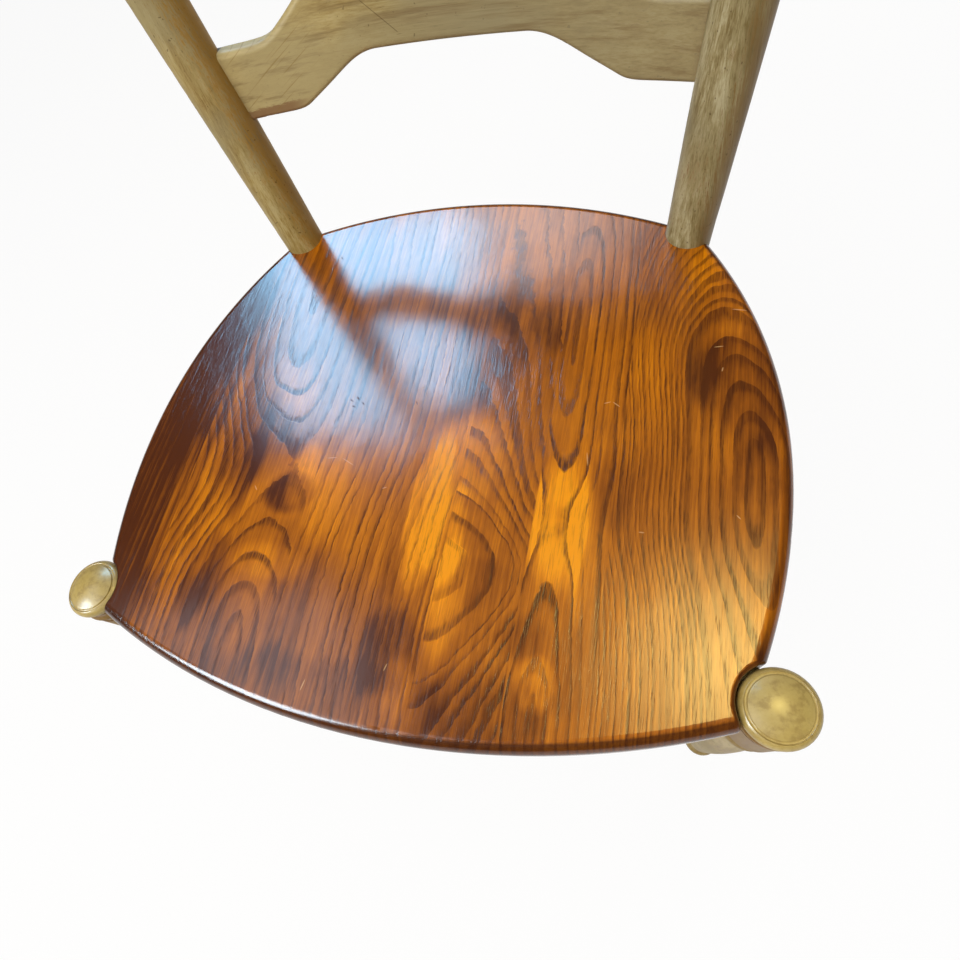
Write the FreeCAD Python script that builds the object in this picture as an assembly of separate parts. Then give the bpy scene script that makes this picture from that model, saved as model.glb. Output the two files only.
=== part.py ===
import FreeCAD, Part
import math
import os
from FreeCAD import Placement, Rotation, Vector

# Wheat back dining chair: a plank seat glued up from six boards, turned front legs with button tops,
# bent back posts, and a sheaf of wheat stalks between two bowed back rails.
# Millimetres, Z up from the floor, X across the chair, Y from the front of the seat to its back.

# Seat
SEAT_TOP = 455.0
SEAT_THICK = 24.0
SEAT_WIDTH = 470.0
SEAT_DEPTH = 424.0
WIDEST_BACK = 183.0         # from the front edge to the widest place of the sides
FRONT_BOW = 44.9            # how far the front edge falls back from its middle to its corners
BACK_PAST_POST = 7.2        # the back edge passes this far behind the posts' axes
SIDE_PAST_POST = 10.7       # each side passes this far outside a post's axis
SIDE_INSIDE_LEG = 13.0      # and this far inside a front leg's axis
EDGE_ROUND = 8.0
UNDER_ROUND = 3.0
TIP_ROUND = 3.0             # on the seat's points beside the front legs
BACK_TIP_ROUND = 6.0        # on its points behind the back posts
BOARD_WIDTHS = (55.0, 103.0, 106.5, 54.0, 48.5)     # from the left; the sixth board takes the rest

# Front legs
LEG_INSET = 7.0             # from the seat's widest place in to the leg's axis
LEG_BACK = 58.0             # from the seat's front edge back to the leg's axis
CAP_RADIUS = 21.0           # button top: its widest ring, dished groove and domed middle
CAP_TALL = 8.5
CAP_LIP = 2.0
CAP_SHOULDER = 2.8
CAP_GROOVE_RADIUS = 17.4
CAP_GROOVE_DEPTH = 0.6
DOME_RADIUS = 16.2
DOME_STEP = 0.6
DOME_TALL = 3.4
NECK_RADIUS = 16.7          # hollow neck and ring under the button top
NECK_TALL = 5.0
RING_RADIUS = 20.6
RING_TALL = 7.0
RING_PROUD = 1.6
GROOVE_TALL = 2.5
GROOVE_DEPTH = 2.0
LEG_BLOCK_RADIUS = 20.0     # plain block that takes the seat rails
BLOCK_BELOW_RAIL = 8.0
BLOCK_HOLLOW_TALL = 18.0
BEAD_TALL = 12.0            # beads of the legs and the front stretcher
BEAD_PROUD = 2.5
COLLAR_RADIUS = 16.7
LEG_SWELL_RADIUS = 18.2
LEG_SWELL_HEIGHT = 211.0
ANKLE_RADIUS = 15.0
ANKLE_HEIGHT = 50.0         # from the glide up to the ankle's bead
ANKLE_HOLLOW_TALL = 17.0
ANKLE_HOLLOW_DEPTH = 2.0
LEG_FOOT_RADIUS = 11.0
FOOT_EASE = 1.2
FOOT_EASE_TALL = 3.0
FOOT_BULGE = 0.4
NOTCH_GAP = 1.3             # between the button top and the seat's notch

# Back posts, bent just below the seat
POST_INSET = 73.0
POST_FROM_BACK = 41.0       # from the middle of the seat's back edge forward to the posts' axes
POST_RADIUS = 16.6
POST_SWELL_RADIUS = 17.8
POST_SWELL_HEIGHT = 235.0   # from the seat's edge line up to the post's fullest place
POST_PLAIN = 14.0           # straight stretch over the seat's edge line
POST_NECK_RADIUS = 14.6
POST_LENGTH = 482.0         # from the seat's edge line up to the finial's collar
POST_COLLAR_TALL = 6.0
POST_COLLAR_PROUD = 1.6
FINIAL_RADIUS = 16.5
FINIAL_HEIGHT = 34.0
FINIAL_MIDDLE = 20.0        # from the collar up to the finial's fullest place
FINIAL_NECK_RADIUS = 9.6
FINIAL_NECK_TALL = 7.0
RECLINE = 7.45
SPLAY = 6.1
KNEE_DROP = 62.0            # from the seat's edge line down to the bend's corner
KNEE_ARC = 280.0
REAR_RAKE = 4.6
REAR_SPLAY = 1.7
REAR_FOOT_RADIUS = 12.0
REAR_TAPER = 176.0          # length of the rear leg's tapered foot
REAR_BULGE = 1.0
FOOT_TRIM = 6.0             # cut off level at the foot

# Seat rails under the seat
RAIL_HEIGHT = 45.0
RAIL_THICK = 20.0
SIDE_RAIL_THICK = 16.0
SIDE_RAIL_IN = 11.0         # the side rails run this far inside the front legs' axes
TENON_THICK = 9.0
TENON_HEIGHT = 32.0
TENON_STOP = 7.5            # from a leg's axis to the end of a tenon

# Stretchers
STRETCHER_TENON = 7.5
STRETCHER_RADIUS = 11.0
STRETCHER_SLIM = 9.5        # front stretcher between its beads and its ends
STRETCHER_FALL = 0.6        # how much slimmer the plain ones are halfway to their ends
STRETCHER_NECK = 26.0       # plain end of each stretcher
STRETCHER_STOP = 4.0        # from a leg's axis to the end of a stretcher
FRONT_SWELL_RADIUS = 14.0
FRONT_BEAD_OUT = 56.0       # from the front stretcher's middle to its beads
SIDE_UPPER_HEIGHT = 268.0
SIDE_LOWER_HEIGHT = 150.0
FRONT_STRETCHER_HEIGHT = 212.0
REAR_STRETCHER_HEIGHT = 190.0

# Back rails; their heights run up the slope of the back from the seat's edge line
BACK_RAIL_THICK = 15.0
BACK_RAIL_ROUND = 2.5       # along the under edges
BACK_RAIL_TOP_ROUND = 4.0
BACK_BOW = 27.0
FRONT_OF_POST = 5.0         # the rail's face stands this far in front of the posts' axes
LOBE_LOW = 111.2            # lower rail: under edge at the lobes, under edge of the arch
ARCH_LOW = 140.9
SHOULDER_TOP = 156.3        # lower rail: upper edge beside the posts and at its raised middle
CENTRE_TOP = 208.0
ARCH_HALF = 51.0            # lower rail, out from its middle: the arch's flat and the lobes' inner ends
LOBE_INNER = 127.0
RISE_POINTS = ((46.0, 3.5), (80.0, 20.0), (102.0, 35.5), (118.5, 46.3))  # upper edge: out, and down
RISE_END = 148.0
CREST_END_DROP = 12.0       # crest: from the posts' collars down to its upper edge beside the posts
CREST_END_HEIGHT = 46.0
CREST_DIP = 6.0             # its upper edge dips this far, then rises to the middle
CREST_RISE = 24.0
CREST_FALL = 26.0           # its under edge falls this far to the middle
CREST_DIP_OUT = 136.0       # out from the middle: the dips, and the ends of the under edge's falls
CREST_FALL_INNER = 96.0
CREST_FALL_OUTER = 174.0
BACK_TENON_HEIGHT = 26.0
BACK_TENON_PAST = 4.0       # how far the back rails' tenons run past the posts' axes
BACK_TENON_ROOT = 26.0      # how far inside the posts' axes they begin, within the rail's ends

# Sheaf of wheat
STALKS_EACH_SIDE = 3
STALK_RADIUS = 3.9
WAIST_HEIGHT = 262.0
WAIST_PITCH = 8.2
EAR_FAN = 9.7               # degrees between neighbouring ears, and between neighbouring stalks' feet
FOOT_FAN = 8.0
EAR_RADIUS = 8.2
EAR_TIP_RADIUS = 3.6
EAR_LENGTH = 72.0           # height of the ears under the crest
EAR_FULLEST = 34.0          # from an ear's foot along it to its fullest place
EAR_PLAIN = 3.0             # straight end of an ear just under the crest
HOUSING_DEPTH = 10.0        # how far the stalks' ends run into the rails
TIE_HEIGHT = 22.0
TIE_WALL = 4.0
TIE_ROUND = 2.0
TIE_ROOM = 1.0              # room inside the tie for the stalks' curve

# Fasteners and feet
SCREW_RADIUS = 2.1
SCREW_HEAD_RADIUS = 4.2
SCREW_HEAD_HEIGHT = 3.0
SCREW_BITE = 14.0
SCREW_POINT = 3.0
SCREW_SINK = 20.0           # depth of the counterbore under each rail
SCREW_BORE = 5.0
SCREW_FROM_LEG = 42.0       # from a leg's axis to the nearest screw of the front and rear rails
SCREWS_PER_RAIL = 4
SIDE_SCREW_SHARES = (0.25, 0.55)    # places of the side rails' screws along the rail
PIN_RADIUS = 1.0
PIN_LENGTH = 25.0
PIN_SUNK = 0.5
GLIDE_THICK = 5.0
GLIDE_RADIUS = 9.5
GLIDE_ROUND = 1.2
GLIDE_PIN = 1.5
GLIDE_PIN_LENGTH = 14.0
FIT = 0.12                  # glue room round tenons, shanks and pins

# Derived places
HALF_WIDTH = SEAT_WIDTH / 2
SEAT_UNDER = SEAT_TOP - SEAT_THICK
EDGE_LINE = SEAT_TOP - EDGE_ROUND
LEG_AT = Vector(HALF_WIDTH - LEG_INSET, LEG_BACK, 0)
SIDE_RAIL_AT = LEG_AT - Vector(SIDE_RAIL_IN, 0, 0)
POST_BACK = SEAT_DEPTH - POST_FROM_BACK
POST_AT = Vector(HALF_WIDTH - POST_INSET, POST_BACK, EDGE_LINE)
NOTCH_RADIUS = CAP_RADIUS + NOTCH_GAP
CREST_END_TOP = POST_LENGTH - CREST_END_DROP
CREST_END_LOW = CREST_END_TOP - CREST_END_HEIGHT
CREST_LOW = CREST_END_LOW - CREST_FALL
CREST_DIP_TOP = CREST_END_TOP - CREST_DIP
CREST_TOP = CREST_END_TOP + CREST_RISE
BOARD_EDGES = [-HALF_WIDTH]
for board_width in BOARD_WIDTHS:
    BOARD_EDGES.append(BOARD_EDGES[-1] + board_width)
BOARD_EDGES.append(HALF_WIDTH)
UP = Vector(0, 0, 1)
FAR = 2000.0                # longer than the chair, for cutting planes


# Building blocks

def turned(profile):
    """A solid turned about Z. The profile starts and ends on the axis; each step is a straight line to
    a point, an arc through two points, a curve through several, or a dome that closes on the axis.
    Points are (radius, height)."""
    edges = []
    here = Vector(0, 0, profile[0][1][1])
    for kind, *stations in profile:
        points = [Vector(radius, 0, height) for radius, height in stations]
        if kind == "line":
            edges.append(Part.makeLine(here, points[0]))
        elif kind == "arc":
            edges.append(Part.Arc(here, points[0], points[1]).toShape())
        elif kind == "dome":
            rise = points[0].z - here.z
            ball = (here.x ** 2 + rise ** 2) / (2 * rise)
            turn = math.asin(here.x / ball) / 2
            shoulder = Vector(ball * math.sin(turn), 0, points[0].z - ball * (1 - math.cos(turn)))
            edges.append(Part.Arc(here, shoulder, points[0]).toShape())
        else:
            curve = Part.BSplineCurve()
            curve.interpolate([here] + points)
            edges.append(curve.toShape())
        here = points[-1]
    edges.append(Part.makeLine(here, Vector(0, 0, edges[0].Vertexes[0].Z)))
    return Part.Face(Part.Wire(edges)).revolve(Vector(0, 0, 0), UP, 360)


def bead(radius, low):
    """A profile step round a bead that stands on a radius."""
    return ("arc", (radius + BEAD_PROUD, low + BEAD_TALL / 2), (radius, low + BEAD_TALL))


def along(shape, start, direction):
    """Stand a shape made about Z at a point, with its axis in a direction."""
    placed = shape.copy()
    placed.Placement = Placement(start, Rotation(UP, direction))
    return placed


def rod(start, end, radius):
    """A plain round bar between two points."""
    return Part.makeCylinder(radius, (end - start).Length, start, end - start)


def bar(start, end, thick, low, high, stop=0.0):
    """An upright board between two points in plan, held back from both by a stop."""
    run = end - start
    run.z = 0
    length = run.Length - 2 * stop
    board = Part.makeBox(length, thick, high - low, Vector(stop, -thick / 2, low))
    board.Placement = Placement(Vector(start.x, start.y, 0), Rotation(Vector(1, 0, 0), run))
    return board


def edges_at(shape, height):
    """The edges of a shape that lie level at a height."""
    return [edge for edge in shape.Edges
            if abs(edge.BoundBox.ZMin - height) < FIT and abs(edge.BoundBox.ZMax - height) < FIT]


def mirrored(shape):
    return shape.mirror(Vector(0, 0, 0), Vector(1, 0, 0))


def crossings(centre_a, radius_a, centre_b, radius_b):
    """The two points where circles in plan cross, the one with the smaller X first."""
    apart = centre_b - centre_a
    span = apart.Length
    inward = (span ** 2 + radius_a ** 2 - radius_b ** 2) / (2 * span)
    aside = math.sqrt(radius_a ** 2 - inward ** 2)
    forward = apart / span
    across = Vector(-forward.y, forward.x, 0)
    both = [centre_a + forward * inward + across * side for side in (aside, -aside)]
    return sorted(both, key=lambda point: point.x)


def towards(start, end, distance):
    """The point at a distance from a start, on the way to an end or past it."""
    way = end - start
    return start + way / way.Length * distance


def bow_radius(half_chord, bow):
    """Radius of an arc that rises by a bow over a chord."""
    return (half_chord ** 2 + bow ** 2) / (2 * bow)


def lean(shape):
    """Carry a shape from the upright frame of the back, whose origin lies between the posts at the seat's
    edge line, to the reclined back."""
    leaned = shape.copy()
    leaned.rotate(Vector(0, 0, 0), Vector(1, 0, 0), -RECLINE)
    leaned.translate(Vector(0, POST_AT.y, POST_AT.z))
    return leaned


def half_span(height):
    """Half the distance between the posts' axes at a height up the back."""
    return POST_AT.x + height * math.tan(math.radians(SPLAY))


# Seat

def back_arc():
    """Centre and radius of the seat's back edge in plan."""
    radius = bow_radius(POST_AT.x, POST_FROM_BACK - BACK_PAST_POST)
    return Vector(0, SEAT_DEPTH - radius, 0), radius


def seat_blank():
    """The whole seat with its edges rounded over, before it is notched and divided into boards."""
    fore_radius = bow_radius(WIDEST_BACK - LEG_BACK, LEG_INSET + SIDE_INSIDE_LEG)
    aft_radius = bow_radius(POST_BACK - WIDEST_BACK, POST_INSET - SIDE_PAST_POST)
    fore_centre = Vector(HALF_WIDTH - fore_radius, WIDEST_BACK, 0)
    aft_centre = Vector(HALF_WIDTH - aft_radius, WIDEST_BACK, 0)
    widest = Vector(HALF_WIDTH, WIDEST_BACK, 0)
    beside_leg = Vector(LEG_AT.x - SIDE_INSIDE_LEG, LEG_BACK, 0)
    front_corner = Vector(beside_leg.x, FRONT_BOW, 0)
    back_corner = crossings(*back_arc(), aft_centre, aft_radius)[1]

    def arc_between(start, end, centre, radius):
        return Part.Arc(start, towards(centre, (start + end) / 2, radius), end).toShape()

    right = [Part.makeLine(front_corner, beside_leg),
             arc_between(beside_leg, widest, fore_centre, fore_radius),
             arc_between(widest, back_corner, aft_centre, aft_radius)]
    left = [mirrored(edge) for edge in right]
    front_mirror = Vector(-front_corner.x, front_corner.y, 0)
    back_mirror = Vector(-back_corner.x, back_corner.y, 0)
    front = Part.Arc(front_mirror, Vector(0, 0, 0), front_corner).toShape()
    back = Part.Arc(back_mirror, Vector(0, SEAT_DEPTH, 0), back_corner).toShape()
    outline = Part.Wire(Part.__sortEdges__([front, back] + right + left))
    blank = Part.Face(outline).extrude(UP * SEAT_THICK)
    blank.translate(UP * SEAT_UNDER)
    blank = blank.makeFillet(EDGE_ROUND, edges_at(blank, SEAT_TOP))
    return blank.makeFillet(UNDER_ROUND, edges_at(blank, SEAT_UNDER)).Solids[0]


def back_tip_trim():
    """What is cut away to round the seat's point between the right post's notch and the back edge."""
    up = direction_up()
    post = POST_AT + up * (EDGE_ROUND / up.z)
    post.z = 0
    notch = POST_RADIUS + FIT
    back_centre, back_radius = back_arc()
    centre = crossings(back_centre, back_radius - BACK_TIP_ROUND, post, notch + BACK_TIP_ROUND)[0]
    on_back = towards(back_centre, centre, back_radius)
    on_notch = towards(post, centre, notch)
    beyond = towards(centre, (on_back + on_notch) / 2, POST_RADIUS)
    wedge = Part.Face(Part.makePolygon([centre, on_back, beyond, on_notch, centre])).extrude(UP * FAR)
    return wedge.cut(Part.makeCylinder(BACK_TIP_ROUND, FAR, centre))


def seat_boards(post_room, screw_holes):
    """Notch the seat round the legs and posts, round the notches' tips, bore it for the screws from below
    and divide it along its glue lines."""
    leg_room = Part.makeCylinder(NOTCH_RADIUS, FAR, LEG_AT)
    seat = seat_blank().cut([leg_room, mirrored(leg_room), post_room, mirrored(post_room)])
    leg_tips = [edge for edge in seat.Edges if at_notch_mouth(edge)]
    trim = back_tip_trim()
    seat = seat.makeFillet(TIP_ROUND, leg_tips).cut([trim, mirrored(trim)] + screw_holes)
    boards = []
    for left, right in zip(BOARD_EDGES, BOARD_EDGES[1:]):
        slab = Part.makeBox(right - left, FAR, FAR, Vector(left, -FAR / 2, 0))
        boards.append(seat.common(slab).Solids[0])
    return boards


def at_notch_mouth(edge):
    """Whether an upright edge stands where a front leg's notch meets the seat's outline."""
    box = edge.BoundBox
    from_leg = Vector(abs(box.Center.x) - LEG_AT.x, box.Center.y - LEG_AT.y, 0).Length
    upright = box.ZLength > SEAT_THICK / 3 and max(box.XLength, box.YLength) < FIT
    on_outline = box.ZMax < SEAT_TOP - FIT
    return upright and on_outline and abs(from_leg - NOTCH_RADIUS) < FIT


# Front legs

def front_leg():
    """The right front leg, turned in one with its ring and button top."""
    cap_high = SEAT_TOP - DOME_TALL - DOME_STEP
    neck_high = cap_high - CAP_TALL
    ring_high = neck_high - NECK_TALL
    ring_low = ring_high - RING_TALL
    ring_foot = RING_RADIUS - RING_PROUD
    block_low = SEAT_UNDER - RAIL_HEIGHT - BLOCK_BELOW_RAIL
    collar = block_low - BLOCK_HOLLOW_TALL - BEAD_TALL
    eased = LEG_FOOT_RADIUS + FOOT_EASE
    ankle = GLIDE_THICK + ANKLE_HEIGHT
    hollow = ankle + BEAD_TALL
    leg = turned([
        ("line", (LEG_FOOT_RADIUS, GLIDE_THICK)),
        ("line", (eased, GLIDE_THICK + FOOT_EASE_TALL)),
        ("arc", ((eased + ANKLE_RADIUS) / 2 + FOOT_BULGE, GLIDE_THICK + ANKLE_HEIGHT / 2),
         (ANKLE_RADIUS, ankle)),
        bead(ANKLE_RADIUS, ankle),
        ("arc", (ANKLE_RADIUS - ANKLE_HOLLOW_DEPTH, hollow + ANKLE_HOLLOW_TALL / 2),
         (ANKLE_RADIUS, hollow + ANKLE_HOLLOW_TALL)),
        ("curve", (LEG_SWELL_RADIUS, LEG_SWELL_HEIGHT), (COLLAR_RADIUS, collar)),
        bead(COLLAR_RADIUS, collar),
        ("arc", (COLLAR_RADIUS, block_low - BLOCK_HOLLOW_TALL / 2), (LEG_BLOCK_RADIUS, block_low)),
        ("line", (LEG_BLOCK_RADIUS, ring_low - GROOVE_TALL)),
        ("arc", (LEG_BLOCK_RADIUS - GROOVE_DEPTH, ring_low - GROOVE_TALL / 2), (ring_foot, ring_low)),
        ("arc", (RING_RADIUS, (ring_low + ring_high) / 2), (ring_foot, ring_high)),
        ("arc", (NECK_RADIUS, (ring_high + neck_high) / 2), (CAP_RADIUS - CAP_LIP, neck_high)),
        ("arc", (CAP_RADIUS, (neck_high + cap_high) / 2), (CAP_RADIUS - CAP_SHOULDER, cap_high)),
        ("arc", (CAP_GROOVE_RADIUS, cap_high - CAP_GROOVE_DEPTH), (DOME_RADIUS, cap_high + DOME_STEP)),
        ("dome", (0, SEAT_TOP)),
    ])
    leg.translate(LEG_AT)
    return leg


# Back posts

def direction_up():
    upright = Vector(math.sin(math.radians(SPLAY)), 0, math.cos(math.radians(SPLAY)))
    return Rotation(Vector(1, 0, 0), -RECLINE).multVec(upright)


def direction_down():
    down = Vector(math.tan(math.radians(REAR_SPLAY)), math.tan(math.radians(REAR_RAKE)), -1)
    return down.normalize()


def knee():
    """Corner, bend angle in degrees and tangent length of the post's bend."""
    corner = POST_AT - direction_up() * KNEE_DROP
    bend = math.degrees(direction_up().getAngle(direction_down() * -1))
    return corner, bend, KNEE_ARC * math.tan(math.radians(bend / 2))


def rear_axis(height):
    """The point of the rear leg's axis at a height below the bend."""
    corner = knee()[0]
    down = direction_down()
    return corner + down * ((height - corner.z) / down.z)


def back_post():
    """The right back post: the turned stile, the bend below the seat and the tapered rear leg."""
    up = direction_up()
    down = direction_down()
    corner, bend, tangent = knee()
    bend_top = corner + up * tangent
    bend_low = corner + down * tangent
    straight = KNEE_DROP - tangent
    collar = straight + POST_LENGTH
    finial_low = collar + FINIAL_NECK_TALL
    fullest = collar + FINIAL_MIDDLE
    round_share = math.cos(math.pi / 4)
    upper = turned([
        ("line", (POST_RADIUS, 0)),
        ("line", (POST_RADIUS, straight + POST_PLAIN)),
        ("curve", (POST_SWELL_RADIUS, straight + POST_SWELL_HEIGHT),
         (POST_NECK_RADIUS, collar - POST_COLLAR_TALL)),
        ("arc", (POST_NECK_RADIUS + POST_COLLAR_PROUD, collar - POST_COLLAR_TALL / 2),
         (POST_NECK_RADIUS, collar)),
        ("arc", (FINIAL_NECK_RADIUS, collar + FINIAL_NECK_TALL / 2), (FINIAL_NECK_RADIUS, finial_low)),
        ("arc", (FINIAL_NECK_RADIUS + (FINIAL_RADIUS - FINIAL_NECK_RADIUS) * round_share,
                 fullest - (fullest - finial_low) * round_share), (FINIAL_RADIUS, fullest)),
        ("dome", (0, collar + FINIAL_HEIGHT)),
    ])
    reach = bend_low.z / -down.z + FOOT_TRIM
    lower = turned([
        ("line", (POST_RADIUS, 0)),
        ("line", (POST_RADIUS, reach - REAR_TAPER)),
        ("arc", ((POST_RADIUS + REAR_FOOT_RADIUS) / 2 + REAR_BULGE, reach - REAR_TAPER / 2),
         (REAR_FOOT_RADIUS, reach)),
        ("line", (0, reach)),
    ])
    inward = down + up * down.dot(up * -1)
    inward.normalize()
    disc = Part.Face(Part.Wire(Part.makeCircle(POST_RADIUS, bend_top, up)))
    elbow = disc.revolve(bend_top + inward * KNEE_ARC, (up * -1).cross(inward), bend)
    post = along(upper, bend_top, up).fuse([elbow, along(lower, bend_low, down)])
    above_glide = Part.makeBox(FAR, FAR, FAR, Vector(-FAR / 2, -FAR / 2, GLIDE_THICK))
    return post.common(above_glide).removeSplitter().Solids[0]


# Seat rails and stretchers

def tenoned_rail(start, end, thick, legs):
    """A seat rail scribed to the legs at both ends, with its tenons, and the cutter of their mortises."""
    low = SEAT_UNDER - RAIL_HEIGHT
    tenon_low = low + (RAIL_HEIGHT - TENON_HEIGHT) / 2
    tenon_high = tenon_low + TENON_HEIGHT
    body = bar(start, end, thick, low, SEAT_UNDER).cut(legs)
    tenon = bar(start, end, TENON_THICK, tenon_low, tenon_high, TENON_STOP)
    mortise = bar(start, end, TENON_THICK + 2 * FIT, tenon_low - FIT, tenon_high + FIT, TENON_STOP - FIT)
    return body.fuse(tenon).removeSplitter().Solids[0], mortise


def stretcher(start, end, beaded):
    """A turned stretcher between two leg axes, with plain round ends in the legs, and the cutter of its
    holes. The front one has a swelling between beads."""
    run = end - start
    length = run.Length - 2 * STRETCHER_STOP
    middle = length / 2
    quarter = (STRETCHER_NECK + middle) / 2
    if beaded:
        near = middle - FRONT_BEAD_OUT - BEAD_TALL / 2
        far = middle + FRONT_BEAD_OUT + BEAD_TALL / 2
        shape = [("curve", (STRETCHER_SLIM, quarter), (STRETCHER_SLIM, near)),
                 bead(STRETCHER_SLIM, near),
                 ("arc", (FRONT_SWELL_RADIUS, middle), (STRETCHER_SLIM, far - BEAD_TALL)),
                 bead(STRETCHER_SLIM, far - BEAD_TALL),
                 ("curve", (STRETCHER_SLIM, length - quarter), (STRETCHER_TENON, length - STRETCHER_NECK))]
    else:
        shape = [("curve", (STRETCHER_RADIUS - STRETCHER_FALL, quarter), (STRETCHER_RADIUS, middle),
                  (STRETCHER_RADIUS - STRETCHER_FALL, length - quarter),
                  (STRETCHER_TENON, length - STRETCHER_NECK))]
    near_end = [("line", (STRETCHER_TENON, 0)), ("line", (STRETCHER_TENON, STRETCHER_NECK))]
    far_end = [("line", (STRETCHER_TENON, length)), ("line", (0, length))]
    unit = run / run.Length
    body = along(turned(near_end + shape + far_end), start + unit * STRETCHER_STOP, unit)
    ends = STRETCHER_STOP - FIT
    return body, rod(start + unit * ends, end - unit * ends, STRETCHER_TENON + FIT)


# Back rails

def bowed_slab(height, thick, low, high, reach):
    """A board bent to the back's bow: its middle plane passes the posts' axes half a rail behind the face."""
    face_radius = bow_radius(half_span(height), BACK_BOW)
    middle_radius = face_radius + BACK_RAIL_THICK / 2
    centre_y = BACK_BOW - FRONT_OF_POST - face_radius
    arcs = []
    for radius in (middle_radius - thick / 2, middle_radius + thick / 2):
        side = math.sqrt(radius ** 2 - reach ** 2)
        arcs.append(Part.Arc(Vector(-reach, centre_y + side, low), Vector(0, centre_y + radius, low),
                             Vector(reach, centre_y + side, low)).toShape())
    ends = [Part.makeLine(arcs[0].Vertexes[index].Point, arcs[1].Vertexes[index].Point) for index in (0, 1)]
    return Part.Face(Part.Wire(Part.__sortEdges__(arcs + ends))).extrude(UP * (high - low))


def curve_through(points):
    """A curve that leaves its first point and reaches its last one level."""
    level = Vector(1, 0, 0)
    curve = Part.BSplineCurve()
    curve.interpolate(Points=[Vector(x, 0, z) for x, z in points], InitialTangent=level, FinalTangent=level)
    return curve.toShape()


def outline_prism(lower, upper, reach):
    """A back rail's shape seen from the front. Each edge is a list of runs for the right half, from the
    middle outwards, and a run of two points is straight."""
    edges = []
    for runs in (lower, upper):
        for points in runs:
            straight = len(points) == 2
            edge = Part.makeLine(*[Vector(x, 0, z) for x, z in points]) if straight else curve_through(points)
            edges += [edge, mirrored(edge)]
    for side in (-reach, reach):
        edges.append(Part.makeLine(Vector(side, 0, lower[-1][-1][1]), Vector(side, 0, upper[-1][-1][1])))
    face = Part.Face(Part.Wire(Part.__sortEdges__(edges)))
    face.translate(Vector(0, -FAR / 2, 0))
    return face.extrude(Vector(0, FAR, 0))


def bowed_rail(lower, upper, height):
    """A back rail in the upright frame of the back, long enough to reach into both posts."""
    reach = half_span(height)
    under = [z for run in lower for x, z in run]
    over = [z for run in upper for x, z in run]
    slab = bowed_slab(height, BACK_RAIL_THICK, min(under) - FIT, max(over) + FIT, reach)
    rail = slab.common(outline_prism(lower, upper, reach)).removeSplitter().Solids[0]
    parting = (max(under) + min(over)) / 2

    def long_edges(side):
        return [edge for edge in rail.Edges
                if edge.BoundBox.XLength > FIT and side * (edge.CenterOfMass.z - parting) > 0]

    rail = rail.makeFillet(BACK_RAIL_TOP_ROUND, long_edges(1))
    return rail.makeFillet(BACK_RAIL_ROUND, long_edges(-1))


def bowed_tenon(height, room):
    """The tenons of a back rail as the ends of one bent strip, or the cutter of their mortises with
    some room."""
    reach = half_span(height) + BACK_TENON_PAST + room
    tall = BACK_TENON_HEIGHT / 2 + room
    strip = bowed_slab(height, TENON_THICK + 2 * room, height - tall, height + tall, reach)
    root = half_span(height) - BACK_TENON_ROOT
    return strip.cut(Part.makeBox(2 * root, FAR, FAR, Vector(-root, -FAR / 2, -FAR / 2)))


def s_curve(start, end):
    """Points of an S curve that leaves one (x, z) point and reaches another level."""
    points = []
    for step in range(5):
        share = (1 - math.cos(math.pi * step / 4)) / 2
        points.append((start[0] + (end[0] - start[0]) * step / 4, start[1] + (end[1] - start[1]) * share))
    return points


def lower_rail_shape(height):
    reach = half_span(height)
    lower = [[(0, ARCH_LOW), (ARCH_HALF, ARCH_LOW)],
             s_curve((ARCH_HALF, ARCH_LOW), (LOBE_INNER, LOBE_LOW)),
             [(LOBE_INNER, LOBE_LOW), (reach, LOBE_LOW)]]
    rise = [(out, CENTRE_TOP - down) for out, down in RISE_POINTS]
    upper = [[(0, CENTRE_TOP)] + rise + [(RISE_END, SHOULDER_TOP)],
             [(RISE_END, SHOULDER_TOP), (reach, SHOULDER_TOP)]]
    return bowed_rail(lower, upper, height)


def crest_shape(height):
    reach = half_span(height)
    lower = [[(0, CREST_LOW), (CREST_FALL_INNER, CREST_LOW)],
             s_curve((CREST_FALL_INNER, CREST_LOW), (CREST_FALL_OUTER, CREST_END_LOW)),
             [(CREST_FALL_OUTER, CREST_END_LOW), (reach, CREST_END_LOW)]]
    upper = [s_curve((0, CREST_TOP), (CREST_DIP_OUT, CREST_DIP_TOP)),
             s_curve((CREST_DIP_OUT, CREST_DIP_TOP), (reach, CREST_END_TOP))]
    return bowed_rail(lower, upper, height)


# Sheaf of wheat

def on_bow(x, height):
    """A point on the middle plane of the bowed back."""
    behind = BACK_BOW * (1 - (x / half_span(height)) ** 2)
    return Vector(x, behind - FRONT_OF_POST + BACK_RAIL_THICK / 2, height)


def stalk_bend(index, rise, fan, straight):
    """A stalk's bend from the waist to a height above or below it, where a straight stretch begins. It
    leaves the waist upright and turns outwards by a fan's angle. Gives the solid, its end and its
    direction there."""
    waist = on_bow(index * WAIST_PITCH, WAIST_HEIGHT)
    onward = UP if rise > 0 else UP * -1
    if index == 0:
        end = waist + UP * rise
        return rod(waist, end, STALK_RADIUS), end, onward
    angle = math.radians(abs(index) * fan)
    radius = abs(rise) / math.sin(angle)
    spread = abs(rise) * math.tan(angle / 2) + straight * math.tan(angle)
    far = on_bow(waist.x + math.copysign(spread, index), WAIST_HEIGHT + rise + math.copysign(straight, rise))
    outward = far - waist
    outward.z = 0
    outward.normalize()
    disc = Part.Face(Part.Wire(Part.makeCircle(STALK_RADIUS, waist, UP)))
    bend = disc.revolve(waist + outward * radius, onward.cross(outward), math.degrees(angle))
    end = waist + UP * rise + outward * (radius * (1 - math.cos(angle)))
    return bend, end, onward * math.cos(angle) + outward * math.sin(angle)


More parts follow.
